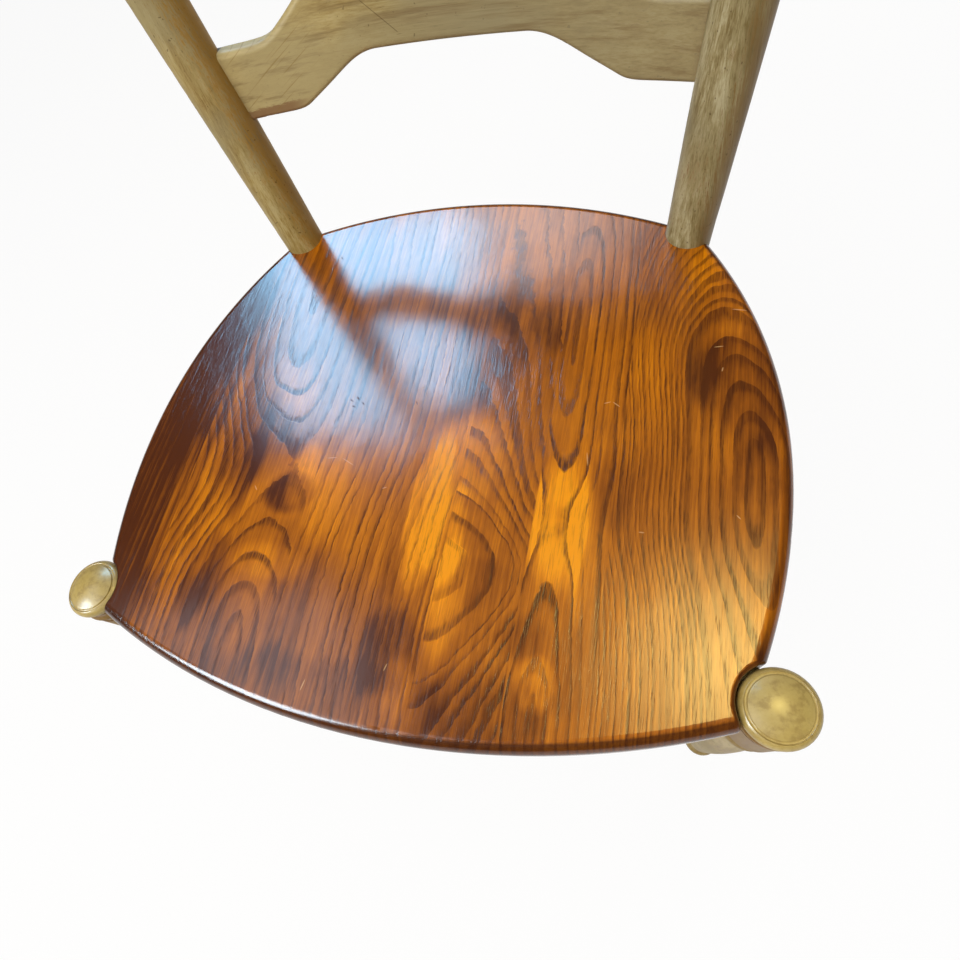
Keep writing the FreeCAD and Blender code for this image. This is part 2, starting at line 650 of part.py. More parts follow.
def wheat_stalk(index):
    """A stalk with its ear under the crest and its ends housed in both rails, and the cutters of the
    housings, in the upright frame of the back."""
    lower, foot, down = stalk_bend(index, CENTRE_TOP - WAIST_HEIGHT, FOOT_FAN, 0.0)
    upper, ear_foot, up = stalk_bend(index, CREST_LOW - EAR_LENGTH - WAIST_HEIGHT, EAR_FAN, EAR_LENGTH)
    run = EAR_LENGTH / up.z
    ear = turned([
        ("line", (STALK_RADIUS, 0)),
        ("curve", (EAR_RADIUS, EAR_FULLEST), (EAR_TIP_RADIUS, run - EAR_PLAIN)),
        ("line", (EAR_TIP_RADIUS, run + HOUSING_DEPTH)),
        ("line", (0, run + HOUSING_DEPTH)),
    ])
    ends = [rod(foot, foot + down * HOUSING_DEPTH, STALK_RADIUS), along(ear, ear_foot, up)]
    stalk = lower.fuse([upper] + ends).removeSplitter().Solids[0]
    tip = ear_foot + up * run
    clear = HOUSING_DEPTH + FIT
    housings = [rod(foot - down * STALK_RADIUS, foot + down * clear, STALK_RADIUS + FIT),
                rod(tip - up * EAR_TIP_RADIUS, tip + up * clear, EAR_TIP_RADIUS + FIT)]
    return stalk, housings


def sheaf_tie():
    """The band round the sheaf's waist: a flat-sided oval ring with eased edges."""
    middle_y = on_bow(0, WAIST_HEIGHT).y

    def oval(half_width, half_depth):
        low = WAIST_HEIGHT - TIE_HEIGHT / 2
        straight = half_width - half_depth
        ends = [Part.Arc(Vector(side * straight, middle_y - half_depth, low),
                         Vector(side * half_width, middle_y, low),
                         Vector(side * straight, middle_y + half_depth, low)).toShape() for side in (1, -1)]
        sides = [Part.makeLine(Vector(-straight, y, low), Vector(straight, y, low))
                 for y in (middle_y + half_depth, middle_y - half_depth)]
        return Part.Face(Part.Wire(Part.__sortEdges__(ends + sides))).extrude(UP * TIE_HEIGHT)

    depth = STALK_RADIUS + TIE_ROOM
    width = STALKS_EACH_SIDE * WAIST_PITCH + depth
    outer = oval(width + TIE_WALL, depth + TIE_WALL)
    outer = outer.makeFillet(TIE_ROUND, [edge for edge in outer.Edges if edge.BoundBox.ZLength < FIT])
    return outer.cut(oval(width, depth))


# Fasteners and feet

def seat_screw(at):
    """A pan-head wood screw up through a rail into the seat; its head bears on the counterbore."""
    shoulder = SEAT_UNDER - RAIL_HEIGHT + SCREW_SINK
    tip = SEAT_UNDER + SCREW_BITE
    screw = turned([
        ("line", (SCREW_HEAD_RADIUS * 0.75, shoulder - SCREW_HEAD_HEIGHT)),
        ("arc", (SCREW_HEAD_RADIUS * 0.95, shoulder - SCREW_HEAD_HEIGHT * 0.7),
         (SCREW_HEAD_RADIUS, shoulder)),
        ("line", (SCREW_RADIUS, shoulder)),
        ("line", (SCREW_RADIUS, tip - SCREW_POINT)),
        ("line", (0, tip)),
    ])
    screw.translate(at)
    return screw


def screw_bore(at):
    """The hole for a screw: a counterbore in the rail and a shank hole on into the seat."""
    low = SEAT_UNDER - RAIL_HEIGHT
    sink = Part.makeCylinder(SCREW_BORE, SCREW_SINK, at + UP * low)
    shank = Part.makeCylinder(SCREW_RADIUS + FIT, RAIL_HEIGHT + SCREW_BITE + FIT, at + UP * low)
    return sink.fuse(shank)


def screw_places():
    """Screws spaced evenly along the front and rear rails, and two through each side rail."""
    rear = rail_height_axis()
    places = []
    for leg in (LEG_AT, rear):
        outer = leg.x - SCREW_FROM_LEG
        spacing = 2 * outer / (SCREWS_PER_RAIL - 1)
        places += [Vector(outer - spacing * number, leg.y, 0) for number in range(SCREWS_PER_RAIL)]
    for share in SIDE_SCREW_SHARES:
        right = SIDE_RAIL_AT + (Vector(rear.x, rear.y, 0) - SIDE_RAIL_AT) * share
        places += [right, Vector(-right.x, right.y, 0)]
    return places


def rail_height_axis():
    """Where the back post's axis crosses the middle of the seat rails' height."""
    return rear_axis(SEAT_UNDER - RAIL_HEIGHT / 2)


def tenon_pin(height, room):
    """A headless pin driven into a post from the front, through a back rail's tenon, in the upright frame."""
    front = -POST_SWELL_RADIUS + PIN_SUNK
    side = half_span(height)
    start = Vector(side, front - room, height)
    return rod(start, Vector(side, front + PIN_LENGTH, height), PIN_RADIUS + room)


def foot_glide(at):
    """A nail-on glide with a rounded rim, on the floor under a leg."""
    eased = GLIDE_ROUND * (1 - math.cos(math.pi / 4))
    glide = turned([
        ("line", (GLIDE_RADIUS - GLIDE_ROUND, 0)),
        ("arc", (GLIDE_RADIUS - eased, eased), (GLIDE_RADIUS, GLIDE_ROUND)),
        ("line", (GLIDE_RADIUS, GLIDE_THICK)),
        ("line", (GLIDE_PIN, GLIDE_THICK)),
        ("line", (GLIDE_PIN, GLIDE_THICK + GLIDE_PIN_LENGTH)),
        ("line", (0, GLIDE_THICK + GLIDE_PIN_LENGTH + GLIDE_PIN)),
    ])
    glide.translate(Vector(at.x, at.y, 0))
    return glide


def glide_hole(at):
    depth = GLIDE_PIN_LENGTH + GLIDE_PIN + FIT
    return Part.makeCylinder(GLIDE_PIN + FIT, depth, Vector(at.x, at.y, GLIDE_THICK))


# Assembly

def build():
    nodes = {}
    leg = front_leg()
    post = back_post()
    legs = [leg, mirrored(leg), post, mirrored(post)]
    post_room = rod(POST_AT - direction_up() * SEAT_THICK * 2, POST_AT + direction_up() * SEAT_THICK * 2,
                    POST_RADIUS + FIT)

    # cutters for the right hand front leg and back post
    leg_cuts = [glide_hole(LEG_AT)]
    post_cuts = [glide_hole(rear_axis(GLIDE_THICK))]

    # seat rails
    screws = screw_places()
    bores = [screw_bore(place) for place in screws]
    rear = rail_height_axis()
    front_left = Vector(-LEG_AT.x, LEG_AT.y, 0)
    rear_left = Vector(-rear.x, rear.y, 0)
    nodes["front_seat_rail"], front_mortise = tenoned_rail(front_left, LEG_AT, RAIL_THICK, legs)
    nodes["rear_seat_rail"], rear_mortise = tenoned_rail(rear_left, rear, RAIL_THICK, legs)
    side_rail, side_mortise = tenoned_rail(SIDE_RAIL_AT, rear, SIDE_RAIL_THICK, legs)
    nodes["right_seat_rail"] = side_rail.cut([nodes["front_seat_rail"], nodes["rear_seat_rail"]])
    leg_cuts += [front_mortise, side_mortise]
    post_cuts += [rear_mortise, side_mortise]
    nodes["left_seat_rail"] = mirrored(nodes["right_seat_rail"])
    for name in [name for name in nodes if name.endswith("seat_rail")]:
        nodes[name] = nodes[name].cut(bores).Solids[0]
    nodes["seat_screws"] = Part.makeCompound([seat_screw(place) for place in screws])

    # stretchers
    for name, height in (("upper", SIDE_UPPER_HEIGHT), ("lower", SIDE_LOWER_HEIGHT)):
        turned_bar, hole = stretcher(LEG_AT + UP * height, rear_axis(height), False)
        nodes["right_" + name + "_stretcher"] = turned_bar
        nodes["left_" + name + "_stretcher"] = mirrored(turned_bar)
        leg_cuts.append(hole)
        post_cuts.append(hole)
    across = UP * FRONT_STRETCHER_HEIGHT
    nodes["front_stretcher"], hole = stretcher(front_left + across, LEG_AT + across, True)
    leg_cuts.append(hole)
    foot = rear_axis(REAR_STRETCHER_HEIGHT)
    nodes["rear_stretcher"], hole = stretcher(Vector(-foot.x, foot.y, foot.z), foot, False)
    post_cuts.append(hole)

    # sheaf and back rails, first in the upright frame of the back
    lower_height = (LOBE_LOW + SHOULDER_TOP) / 2
    crest_height = (CREST_END_LOW + CREST_DIP_TOP) / 2
    rails = {"lower_back_rail": (lower_rail_shape(lower_height), lower_height),
             "crest_rail": (crest_shape(crest_height), crest_height)}
    stalk_holes = []
    for index in range(-STALKS_EACH_SIDE, STALKS_EACH_SIDE + 1):
        stalk, housings = wheat_stalk(index)
        nodes["wheat_stalk_%d" % (index + STALKS_EACH_SIDE + 1)] = lean(stalk)
        stalk_holes += housings
    nodes["sheaf_tie"] = lean(sheaf_tie())
    pins = []
    for name, (shape, height) in rails.items():
        pin_hole = tenon_pin(height, FIT)
        rail = lean(shape.cut(stalk_holes)).cut(legs)
        tenon = lean(bowed_tenon(height, 0.0).cut([pin_hole, mirrored(pin_hole)]))
        nodes[name] = rail.fuse(tenon).removeSplitter().Solids[0]
        post_cuts += [lean(bowed_tenon(height, FIT)), lean(pin_hole)]
        pin = lean(tenon_pin(height, 0.0))
        pins += [pin, mirrored(pin)]
    nodes["tenon_pins"] = Part.makeCompound(pins)

    # seat, legs, posts and glides
    for number, board in enumerate(seat_boards(post_room, bores), start=1):
        nodes["seat_board_%d" % number] = board
    right = {"front_leg": leg.cut(leg_cuts), "back_post": post.cut(post_cuts),
             "front_glide": foot_glide(LEG_AT), "rear_glide": foot_glide(rear_axis(GLIDE_THICK))}
    for name, shape in right.items():
        nodes["right_" + name] = shape.Solids[0]
        nodes["left_" + name] = mirrored(shape).Solids[0]
    return nodes


def main():
    nodes = build()
    box = Part.makeCompound(list(nodes.values())).optimalBoundingBox()
    to_origin = Vector(-box.Center.x, -box.Center.y, -box.ZMin)
    os.makedirs("parts", exist_ok=True)
    for name, shape in nodes.items():
        shape.translate(to_origin)
        shape.exportStep("parts/" + name + ".step")
        print(name, shape.isValid(), len(shape.Solids), round(shape.Volume))
    print("moved by", to_origin, "box", box)


main()
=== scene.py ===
import math

import bmesh
import bpy
from mathutils import Matrix, Quaternion, Vector


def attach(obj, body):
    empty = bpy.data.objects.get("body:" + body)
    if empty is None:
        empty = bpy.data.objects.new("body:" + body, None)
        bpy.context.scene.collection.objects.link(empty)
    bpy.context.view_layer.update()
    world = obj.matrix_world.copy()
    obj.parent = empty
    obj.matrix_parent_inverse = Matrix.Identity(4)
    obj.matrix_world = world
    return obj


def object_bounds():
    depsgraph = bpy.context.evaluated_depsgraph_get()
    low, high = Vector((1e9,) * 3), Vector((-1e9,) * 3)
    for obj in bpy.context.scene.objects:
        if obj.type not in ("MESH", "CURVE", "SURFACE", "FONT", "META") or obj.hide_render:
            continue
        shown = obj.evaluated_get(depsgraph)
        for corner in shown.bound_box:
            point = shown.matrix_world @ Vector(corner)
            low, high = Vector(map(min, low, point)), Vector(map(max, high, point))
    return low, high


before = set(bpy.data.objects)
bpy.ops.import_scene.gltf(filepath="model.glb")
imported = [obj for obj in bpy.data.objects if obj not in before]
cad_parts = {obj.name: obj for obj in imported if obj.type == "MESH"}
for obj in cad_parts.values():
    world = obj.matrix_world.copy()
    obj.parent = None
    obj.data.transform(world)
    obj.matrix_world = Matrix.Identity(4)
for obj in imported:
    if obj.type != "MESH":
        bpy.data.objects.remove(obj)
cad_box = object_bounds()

# Wheat back dining chair: a glossy stained plank seat in a khaki painted frame, rubbed through to brown wood.
# Metres, in the part's own frame: Z up from the floor, the seat's front edge towards -Y.

MM = 0.001
SEAT_FRONT = cad_box[0][1]
SEAT_TOP = max(vertex.co.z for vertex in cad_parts["seat_board_3"].data.vertices)

# Camera, fitted to the seat's outline, the posts and the right leg's button top
FRAME_PIXELS = 960
FOCAL_PIXELS = 610.0
NADIR_PIXEL = (627.62, 765.54)      # where the point straight below the eye falls in the picture
CAMERA_YAW = math.radians(-11.3475)
EYE_ACROSS = 0.15455                # the eye's place: right of the middle,
EYE_BEHIND_FRONT = 0.01555          # behind the seat's front edge,
EYE_OVER_SEAT = 0.35808             # and over the seat
EYE = Vector((EYE_ACROSS, SEAT_FRONT + EYE_BEHIND_FRONT, SEAT_TOP + EYE_OVER_SEAT))
SENSOR_WIDTH = 36.0
CLIP_START = 0.01


def srgb(red, green, blue):
    """A colour given in screen values from 0 to 255, as the linear colour that a shader takes."""
    linear = []
    for value in (red, green, blue):
        share = value / 255
        linear.append(share / 12.92 if share <= 0.04045 else ((share + 0.055) / 1.055) ** 2.4)
    return (*linear, 1.0)


# Node wiring

class Wiring:
    """Short words for building the node tree of a material, a lamp or a world."""

    def __init__(self, owner):
        self.owner = owner
        owner.use_nodes = True
        self.tree = owner.node_tree
        self.tree.nodes.clear()

    def node(self, kind, inputs=(), **settings):
        """Add a node, set its properties, then link or set its inputs in order of (socket, value)."""
        made = self.tree.nodes.new("ShaderNode" + kind)
        for key, value in settings.items():
            setattr(made, key, value)
        for socket, value in inputs:
            if isinstance(value, bpy.types.NodeSocket):
                self.tree.links.new(value, made.inputs[socket])
            else:
                made.inputs[socket].default_value = value
        return made

    def math(self, operation, *values, clamp=False):
        made = self.node("Math", enumerate(values), operation=operation, use_clamp=clamp)
        return made.outputs[0]

    def times(self, product, *others):
        """The product of several values."""
        for value in others:
            product = self.math("MULTIPLY", product, value)
        return product

    def place(self):
        """Where a surface point is, in the part's frame, in metres."""
        return self.node("TexCoord").outputs["Object"]

    def axes(self, vector):
        return self.node("SeparateXYZ", (("Vector", vector),)).outputs

    def facing(self):
        """Which way the surface faces, in the part's frame."""
        return self.axes(self.node("NewGeometry").outputs["Normal"])

    def stretched(self, place, scale, rotation=(0, 0, 0)):
        inputs = (("Vector", place), ("Rotation", rotation), ("Scale", scale))
        return self.node("Mapping", inputs).outputs[0]

    def noise(self, vector, scale=1.0, detail=3.0, roughness=0.55):
        inputs = (("Vector", vector), ("Scale", scale), ("Detail", detail), ("Roughness", roughness))
        return self.node("TexNoise", inputs).outputs["Fac"]

    def fade(self, value, low, high, to_low=0.0, to_high=1.0):
        """Map a value from one range to another, smoothly and without passing its ends."""
        inputs = ((0, value), (1, low), (2, high), (3, to_low), (4, to_high))
        return self.node("MapRange", inputs, interpolation_type="SMOOTHSTEP").outputs[0]

    def spread(self, value, amount):
        """A noise's swing about its middle, times an amount."""
        return self.times(self.math("SUBTRACT", value, 0.5), amount)

    def mix(self, share, first, second):
        made = self.node("Mix", ((0, share), (6, first), (7, second)), data_type="RGBA")
        return made.outputs[2]

    def ramp(self, share, *stops):
        """A colour ramp; each stop is (place, colour)."""
        made = self.node("ValToRGB", ((0, share),))
        elements = made.color_ramp.elements
        while len(elements) < len(stops):
            elements.new(0.5)
        for element, (place, colour) in zip(elements, stops):
            element.position = place
            element.color = colour
        return made.outputs[0]

    def curve(self, share, points):
        """A smooth curve through few (place, value) points, both from 0 to 1."""
        made = self.node("FloatCurve", ((1, share),))
        line = made.mapping.curves[0]
        line.points[0].location = points[0]
        line.points[1].location = points[-1]
        for point in points[1:-1]:
            line.points.new(*point)
        made.mapping.update()
        return made.outputs[0]

    def bump(self, height, strength, distance, normal=None):
        inputs = [("Height", height), ("Strength", strength), ("Distance", distance)]
        if normal is not None:
            inputs.append(("Normal", normal))
        return self.node("Bump", inputs).outputs[0]

    def show(self, shader, kind="Material"):
        """Send a shader to the output of a material, a light or a world."""
        self.node("Output" + kind, ((0, shader.outputs[0]),))
        return self.owner

    def surface(self, **inputs):
        """The principled surface; inputs are named as its sockets with _ for a space."""
        sockets = [(name.replace("_", " "), value) for name, value in inputs.items()]
        return self.show(self.node("BsdfPrincipled", sockets))


# Seat wood, laid out in millimetres across the chair and back from the seat's front edge

SEAT_DEPTH = 424.0

# Each board's rings: a centre line and a depth to the heart, both as (millimetres back, millimetres) points.
# A dip in the depth makes an eye, a rise makes an hourglass.
# spacing: of rings near the heart, how far out it changes, and past there; start: the ring at the heart.
# line: the dark share of a ring, and contrast, how dark it is; wander: how far the rings stray.
# tone: how light the stain is.
BOARDS = {
    "seat_board_1": {
        "centre": ((0, -330), (424, -330)),
        "depth": ((0, 10), (424, 10)),
        "spacing": (5.5, 400, 5.5), "start": 0.0, "line": 0.3, "wander": 3.0, "tone": 0.22, "contrast": 0.6,
    },
    "seat_board_2": {
        "centre": ((0, -94), (57, -100), (98, -101), (150, -98), (202, -110), (249, -122), (424, -124)),
        "depth": ((0, 1), (57, 8), (80, 17), (98, 26), (141, 40), (172, 43), (202, 35), (225, 26), (249, 17),
                  (290, 8), (424, 1)),
        "spacing": (9.0, 50, 6.5), "start": 0.0, "line": 0.24, "wander": 4.0, "tone": 0.54, "contrast": 0.9,
    },
    "seat_board_3": {
        "centre": ((0, -170), (100, -175), (220, -164), (424, -172)),
        "depth": ((0, 30), (424, 20)),
        "spacing": (9.0, 150, 6.0), "start": 0.2, "line": 0.22, "wander": 5.0, "tone": 0.56, "contrast": 0.9,
    },
    "seat_board_4": {
        "centre": ((0, 22), (424, 26)),
        "depth": ((0, 64), (42, 52), (72, 36), (92, 18), (107, 6), (122, 20), (142, 42), (172, 60), (212, 70),
                  (262, 76), (332, 84), (424, 92)),
        "spacing": (16.0, 52, 5.0), "start": 0.3, "line": 0.24, "wander": 4.0, "tone": 0.54, "contrast": 0.9,
    },
    "seat_board_5": {
        "centre": ((0, 103), (59, 100), (102, 99), (187, 98), (224, 94), (290, 92), (424, 92)),
        "depth": ((0, 1), (39, 3), (59, 9), (102, 15), (144, 20), (187, 15), (224, 9), (246, 5), (290, 1),
                  (340, 5), (362, 9), (424, 22)),
        "spacing": (6.0, 40, 3.8), "start": 0.4, "line": 0.26, "wander": 2.5, "tone": 0.54, "contrast": 0.95,
    },
    "seat_board_6": {
        "centre": ((0, 226), (100, 222), (144, 214), (214, 211), (252, 204), (308, 193), (424, 190)),
        "depth": ((0, 26), (60, 20), (102, 14), (129, 9), (144, 6), (174, 1), (204, 3), (214, 6), (232, 12.4),
                  (252, 19), (273, 25.4), (291, 32), (308, 38), (340, 48), (424, 70)),
        "spacing": (6.5, 40, 3.2), "start": 0.0, "line": 0.36, "wander": 2.0, "tone": 0.53, "contrast": 0.72,
    },
}
DEPTH_TOP = 100.0
CENTRE_REACH = 400.0

# How noise is stretched over the seat: low along the grain, which runs front to back
SWAY = (24, 7, 24)
ZIGZAG = (110, 130, 110)
ALONG_RINGS = (30, 12, 30)
STREAKS = (480, 13, 480)
PORES = (1150, 62, 1150)
DRIFT = (30, 13, 30)
COAT_WAVES = (20, 12, 20)
SMEARS = (40, 22, 40)

SWAY_SHARE = 2.4                    # of a board's wander
ZIGZAG_SHARE = 0.55
RING_UNEVEN = 0.9                   # how much the rings' spacing swings, in rings
RING_UNEVEN_SCALE = 0.9

# Ranges of a fade: (from, to), or (from, to, value at the first, value at the second)
LINE_START = (-0.16, 0.12)          # of a ring, about where its dark line starts
LINE_END = (1.0, 0.95)
OWN_WEIGHT = (0.0, 1.0, 0.4, 1.0)   # each ring's line is lighter or darker
WEIGHT_ALONG = (0.3, 0.62, 0.5, 1.0)
PORE_RANGE = (0.53, 0.66)
PORES_IN_LINE = (0.0, 0.6, 0.45, 1.0)
LINE_BROKEN = (0.36, 0.58, 0.45, 1.0)
RING_DARKENS = (0.2, 0.85)
SMEAR_ROUGHNESS = (0.3, 0.7, 0.3, 0.42)

# How much each thing sways the stain's tone or a patch's rim
DRIFT_TONE = 0.65
STREAK_TONE = 0.85
RING_TONE = 0.12
RIM_ALONG_RINGS = 1.6
RIM_BY_RING = 0.7
PORE_DARK = 0.5
MARK_PALE = 0.5
DENT_DARK = 0.8

# Patches of stain, listed one by one: (across, back, half width, half length, how much lighter)
STAIN_PATCHES = (
    (13, 144, 12, 52, 0.46), (38, 88, 12, 36, 0.38), (101, 148, 17, 48, 0.56), (116, 126, 10, 38, 0.24),
    (28, 130, 13, 28, 0.36), (100, 49, 12, 14, 0.34), (104, 24, 17, 14, 0.10), (38, 187, 24, 30, 0.24),
    (-169, 138, 13, 90, 0.16), (-141, 130, 14, 60, 0.12), (-85, 160, 11, 24, 0.38), (-58, 147, 17, 40, 0.16),
    (-95, 94, 26, 14, 0.22), (140, 297, 36, 62, 0.06), (176, 358, 16, 30, 0.14), (20, 28, 8, 18, 0.20),
    (-183, 150, 8, 150, 0.24),
    (-175, 190, 6, 170, -0.26), (-205, 150, 34, 280, -0.20), (-133, 160, 9, 42, -0.36),
    (-93, 146, 18, 14, -0.44), (-140, 82, 15, 32, -0.34), (-70, 310, 120, 110, -0.24),
    (-145, 188, 36, 44, -0.24), (-40, 14, 90, 24, -0.22), (-150, 40, 60, 40, -0.18), (-60, 70, 70, 46, -0.16),
    (10, 51, 20, 22, -0.22), (74, 24, 30, 26, -0.26), (60, 100, 20, 16, -0.14), (88, 72, 18, 14, -0.22),
    (30, 280, 28, 54, -0.16), (105, 350, 70, 60, -0.18), (129, 170, 14, 30, -0.20), (178, 284, 13, 40, -0.22),
    (210, 250, 34, 44, -0.26), (215, 160, 30, 50, -0.14), (216, 190, 13, 22, -0.14),
)
PATCH_REACH = 1.3                   # how far a patch reaches past its half width
PATCH_RIM = (1.7, 0.3)              # squared way out: none past the first, full inside the second

# Small marks in the finish: (across, back, half length, degrees from straight across)
PALE_MARKS = (
    (120, 233, 3, 20), (126, 232, 4, -35), (200, 312, 7, -5), (188, 281, 4, 10), (112, 190, 7, -80),
    (191, 263, 2, 80), (150, 144, 2, 0), (204, 160, 2, -45), (-68, 175, 5, 10), (-55, 173, 8, -25),
    (-22, 156, 2, 25), (-121, 146, 3, -50), (-40, 22, 5, 80), (10, 41, 3, 75),
)
DENTS = (
    (-67, 223, 2, -30), (-62, 225, 3, -50), (-57, 221, 2, -45), (-64, 218, 2, -20), (-15, 224, 2, -60),
    (-118, 362, 3, -45),
)
MARK_HALF_WIDTH = 0.45
MARK_LENGTH_SHARE = 0.7
MARK_RIM = (1.2, 0.3)

# Darker rounded edge near the front and back, partly stain gathered there and partly painted shade: (back:
# first, last, share at the first, share at the last)
FRONT_EDGE_DARK = (110, 80, 0.4, 0.8)
REAR_EDGE_DARK = (330, 370, 0.4, 0.85)
EDGE_TURN = (0.999, 0.93)           # upward part of the normal: flat top, well round the edge

LINE_WOOD = srgb(70, 32, 5)
SMOKY_WOOD = srgb(82, 38, 7)
BROWN_WOOD = srgb(142, 77, 8)
CHESTNUT_WOOD = srgb(178, 102, 9)
AMBER_WOOD = srgb(218, 132, 4)
GOLD_WOOD = srgb(242, 155, 3)
MARK_WOOD = srgb(226, 180, 118)
# dark wood for dents, and for the rounded edges where part of it is painted shade
EDGE_WOOD = srgb(58, 26, 8)
STAIN = ((0.0, SMOKY_WOOD), (0.3, BROWN_WOOD), (0.55, CHESTNUT_WOOD), (0.85, AMBER_WOOD), (1.0, GOLD_WOOD))

GRAIN_RELIEF = 0.00012              # metres
COAT_SWELL = 0.0016
LINE_SUNK = 0.8                     # shares of the relief
STREAK_RAISED = 1.2
SWELL_BUMP = 0.35
WOOD_BUMP = 0.25
COAT_BUMP = 0.22
COAT_ROUGHNESS = 0.17
LACQUER_IOR = 1.5


def board_span(node):
    """A board's left and right limits, in millimetres across."""
    across = [vertex.co.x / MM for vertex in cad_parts[node].data.vertices]
    return min(across), max(across)


def ring_count(wiring, grain, place, across, back):
    """How many rings lie between a seat point and the heart of its board, unevenly spaced and zigzag."""
    math_of = wiring.math
    stray = grain["wander"]
    wander = wiring.spread(wiring.noise(wiring.stretched(place, SWAY), detail=2), stray * SWAY_SHARE)
    zigzag = wiring.spread(wiring.noise(wiring.stretched(place, ZIGZAG), detail=2), stray * ZIGZAG_SHARE)
    share = math_of("DIVIDE", back, SEAT_DEPTH, clamp=True)
    centre = wiring.curve(share, [(y / SEAT_DEPTH, x / (2 * CENTRE_REACH) + 0.5) for y, x in grain["centre"]])
    aside = math_of("SUBTRACT", across, wiring.spread(centre, 2 * CENTRE_REACH))
    depth = wiring.curve(share, [(y / SEAT_DEPTH, d / DEPTH_TOP) for y, d in grain["depth"]])
    depth = wiring.times(depth, DEPTH_TOP)
    squares = math_of("ADD", wiring.times(aside, aside), wiring.times(depth, depth))
    heart = math_of("ADD", math_of("SQRT", squares), math_of("ADD", wander, zigzag))
    inner, knee, outer = grain["spacing"]
    past_knee = math_of("MAXIMUM", math_of("SUBTRACT", heart, knee), 0.0)
    rings = math_of("MULTIPLY_ADD", heart, 1 / inner, grain["start"])
    rings = math_of("MULTIPLY_ADD", past_knee, 1 / outer - 1 / inner, rings)
    uneven = wiring.node("TexNoise", (("W", rings), ("Scale", RING_UNEVEN_SCALE), ("Detail", 1.0)),
                         noise_dimensions="1D")
    return math_of("ADD", rings, wiring.spread(uneven.outputs["Fac"], RING_UNEVEN))


def stain_tone(wiring, span, across, back, ragged, tone):
    """Add the patches of stain that reach a board; their rims follow its rings."""
    math_of = wiring.math
    for patch_x, patch_y, half_x, half_y, lighter in STAIN_PATCHES:
        if not span[0] - half_x * PATCH_REACH < patch_x < span[1] + half_x * PATCH_REACH:
            continue
        off_x = math_of("DIVIDE", math_of("SUBTRACT", across, patch_x), half_x)
        off_y = math_of("DIVIDE", math_of("SUBTRACT", back, patch_y), half_y)
        far = math_of("MULTIPLY_ADD", off_x, off_x, math_of("MULTIPLY_ADD", off_y, off_y, ragged))
        tone = math_of("MULTIPLY_ADD", wiring.fade(far, *PATCH_RIM), lighter, tone)
    return tone


def mark_mask(wiring, span, across, back, marks):
    """Where a board carries one of the given small marks."""
    math_of = wiring.math
    mask = None
    for mark_x, mark_y, half_length, degrees in marks:
        if not span[0] < mark_x < span[1]:
            continue
        turn = math.radians(degrees)
        off_x = math_of("SUBTRACT", across, mark_x)
        off_y = math_of("SUBTRACT", back, mark_y)
        along = math_of("MULTIPLY_ADD", off_x, math.cos(turn), wiring.times(off_y, math.sin(turn)))
        aside = math_of("MULTIPLY_ADD", off_y, math.cos(turn), wiring.times(off_x, -math.sin(turn)))
        along = math_of("DIVIDE", along, half_length * MARK_LENGTH_SHARE + MARK_HALF_WIDTH)
        aside = math_of("DIVIDE", aside, MARK_HALF_WIDTH)
        far = math_of("MULTIPLY_ADD", along, along, wiring.times(aside, aside))
        mark = wiring.fade(far, *MARK_RIM)
        mask = mark if mask is None else math_of("MAXIMUM", mask, mark)
    return 0.0 if mask is None else mask


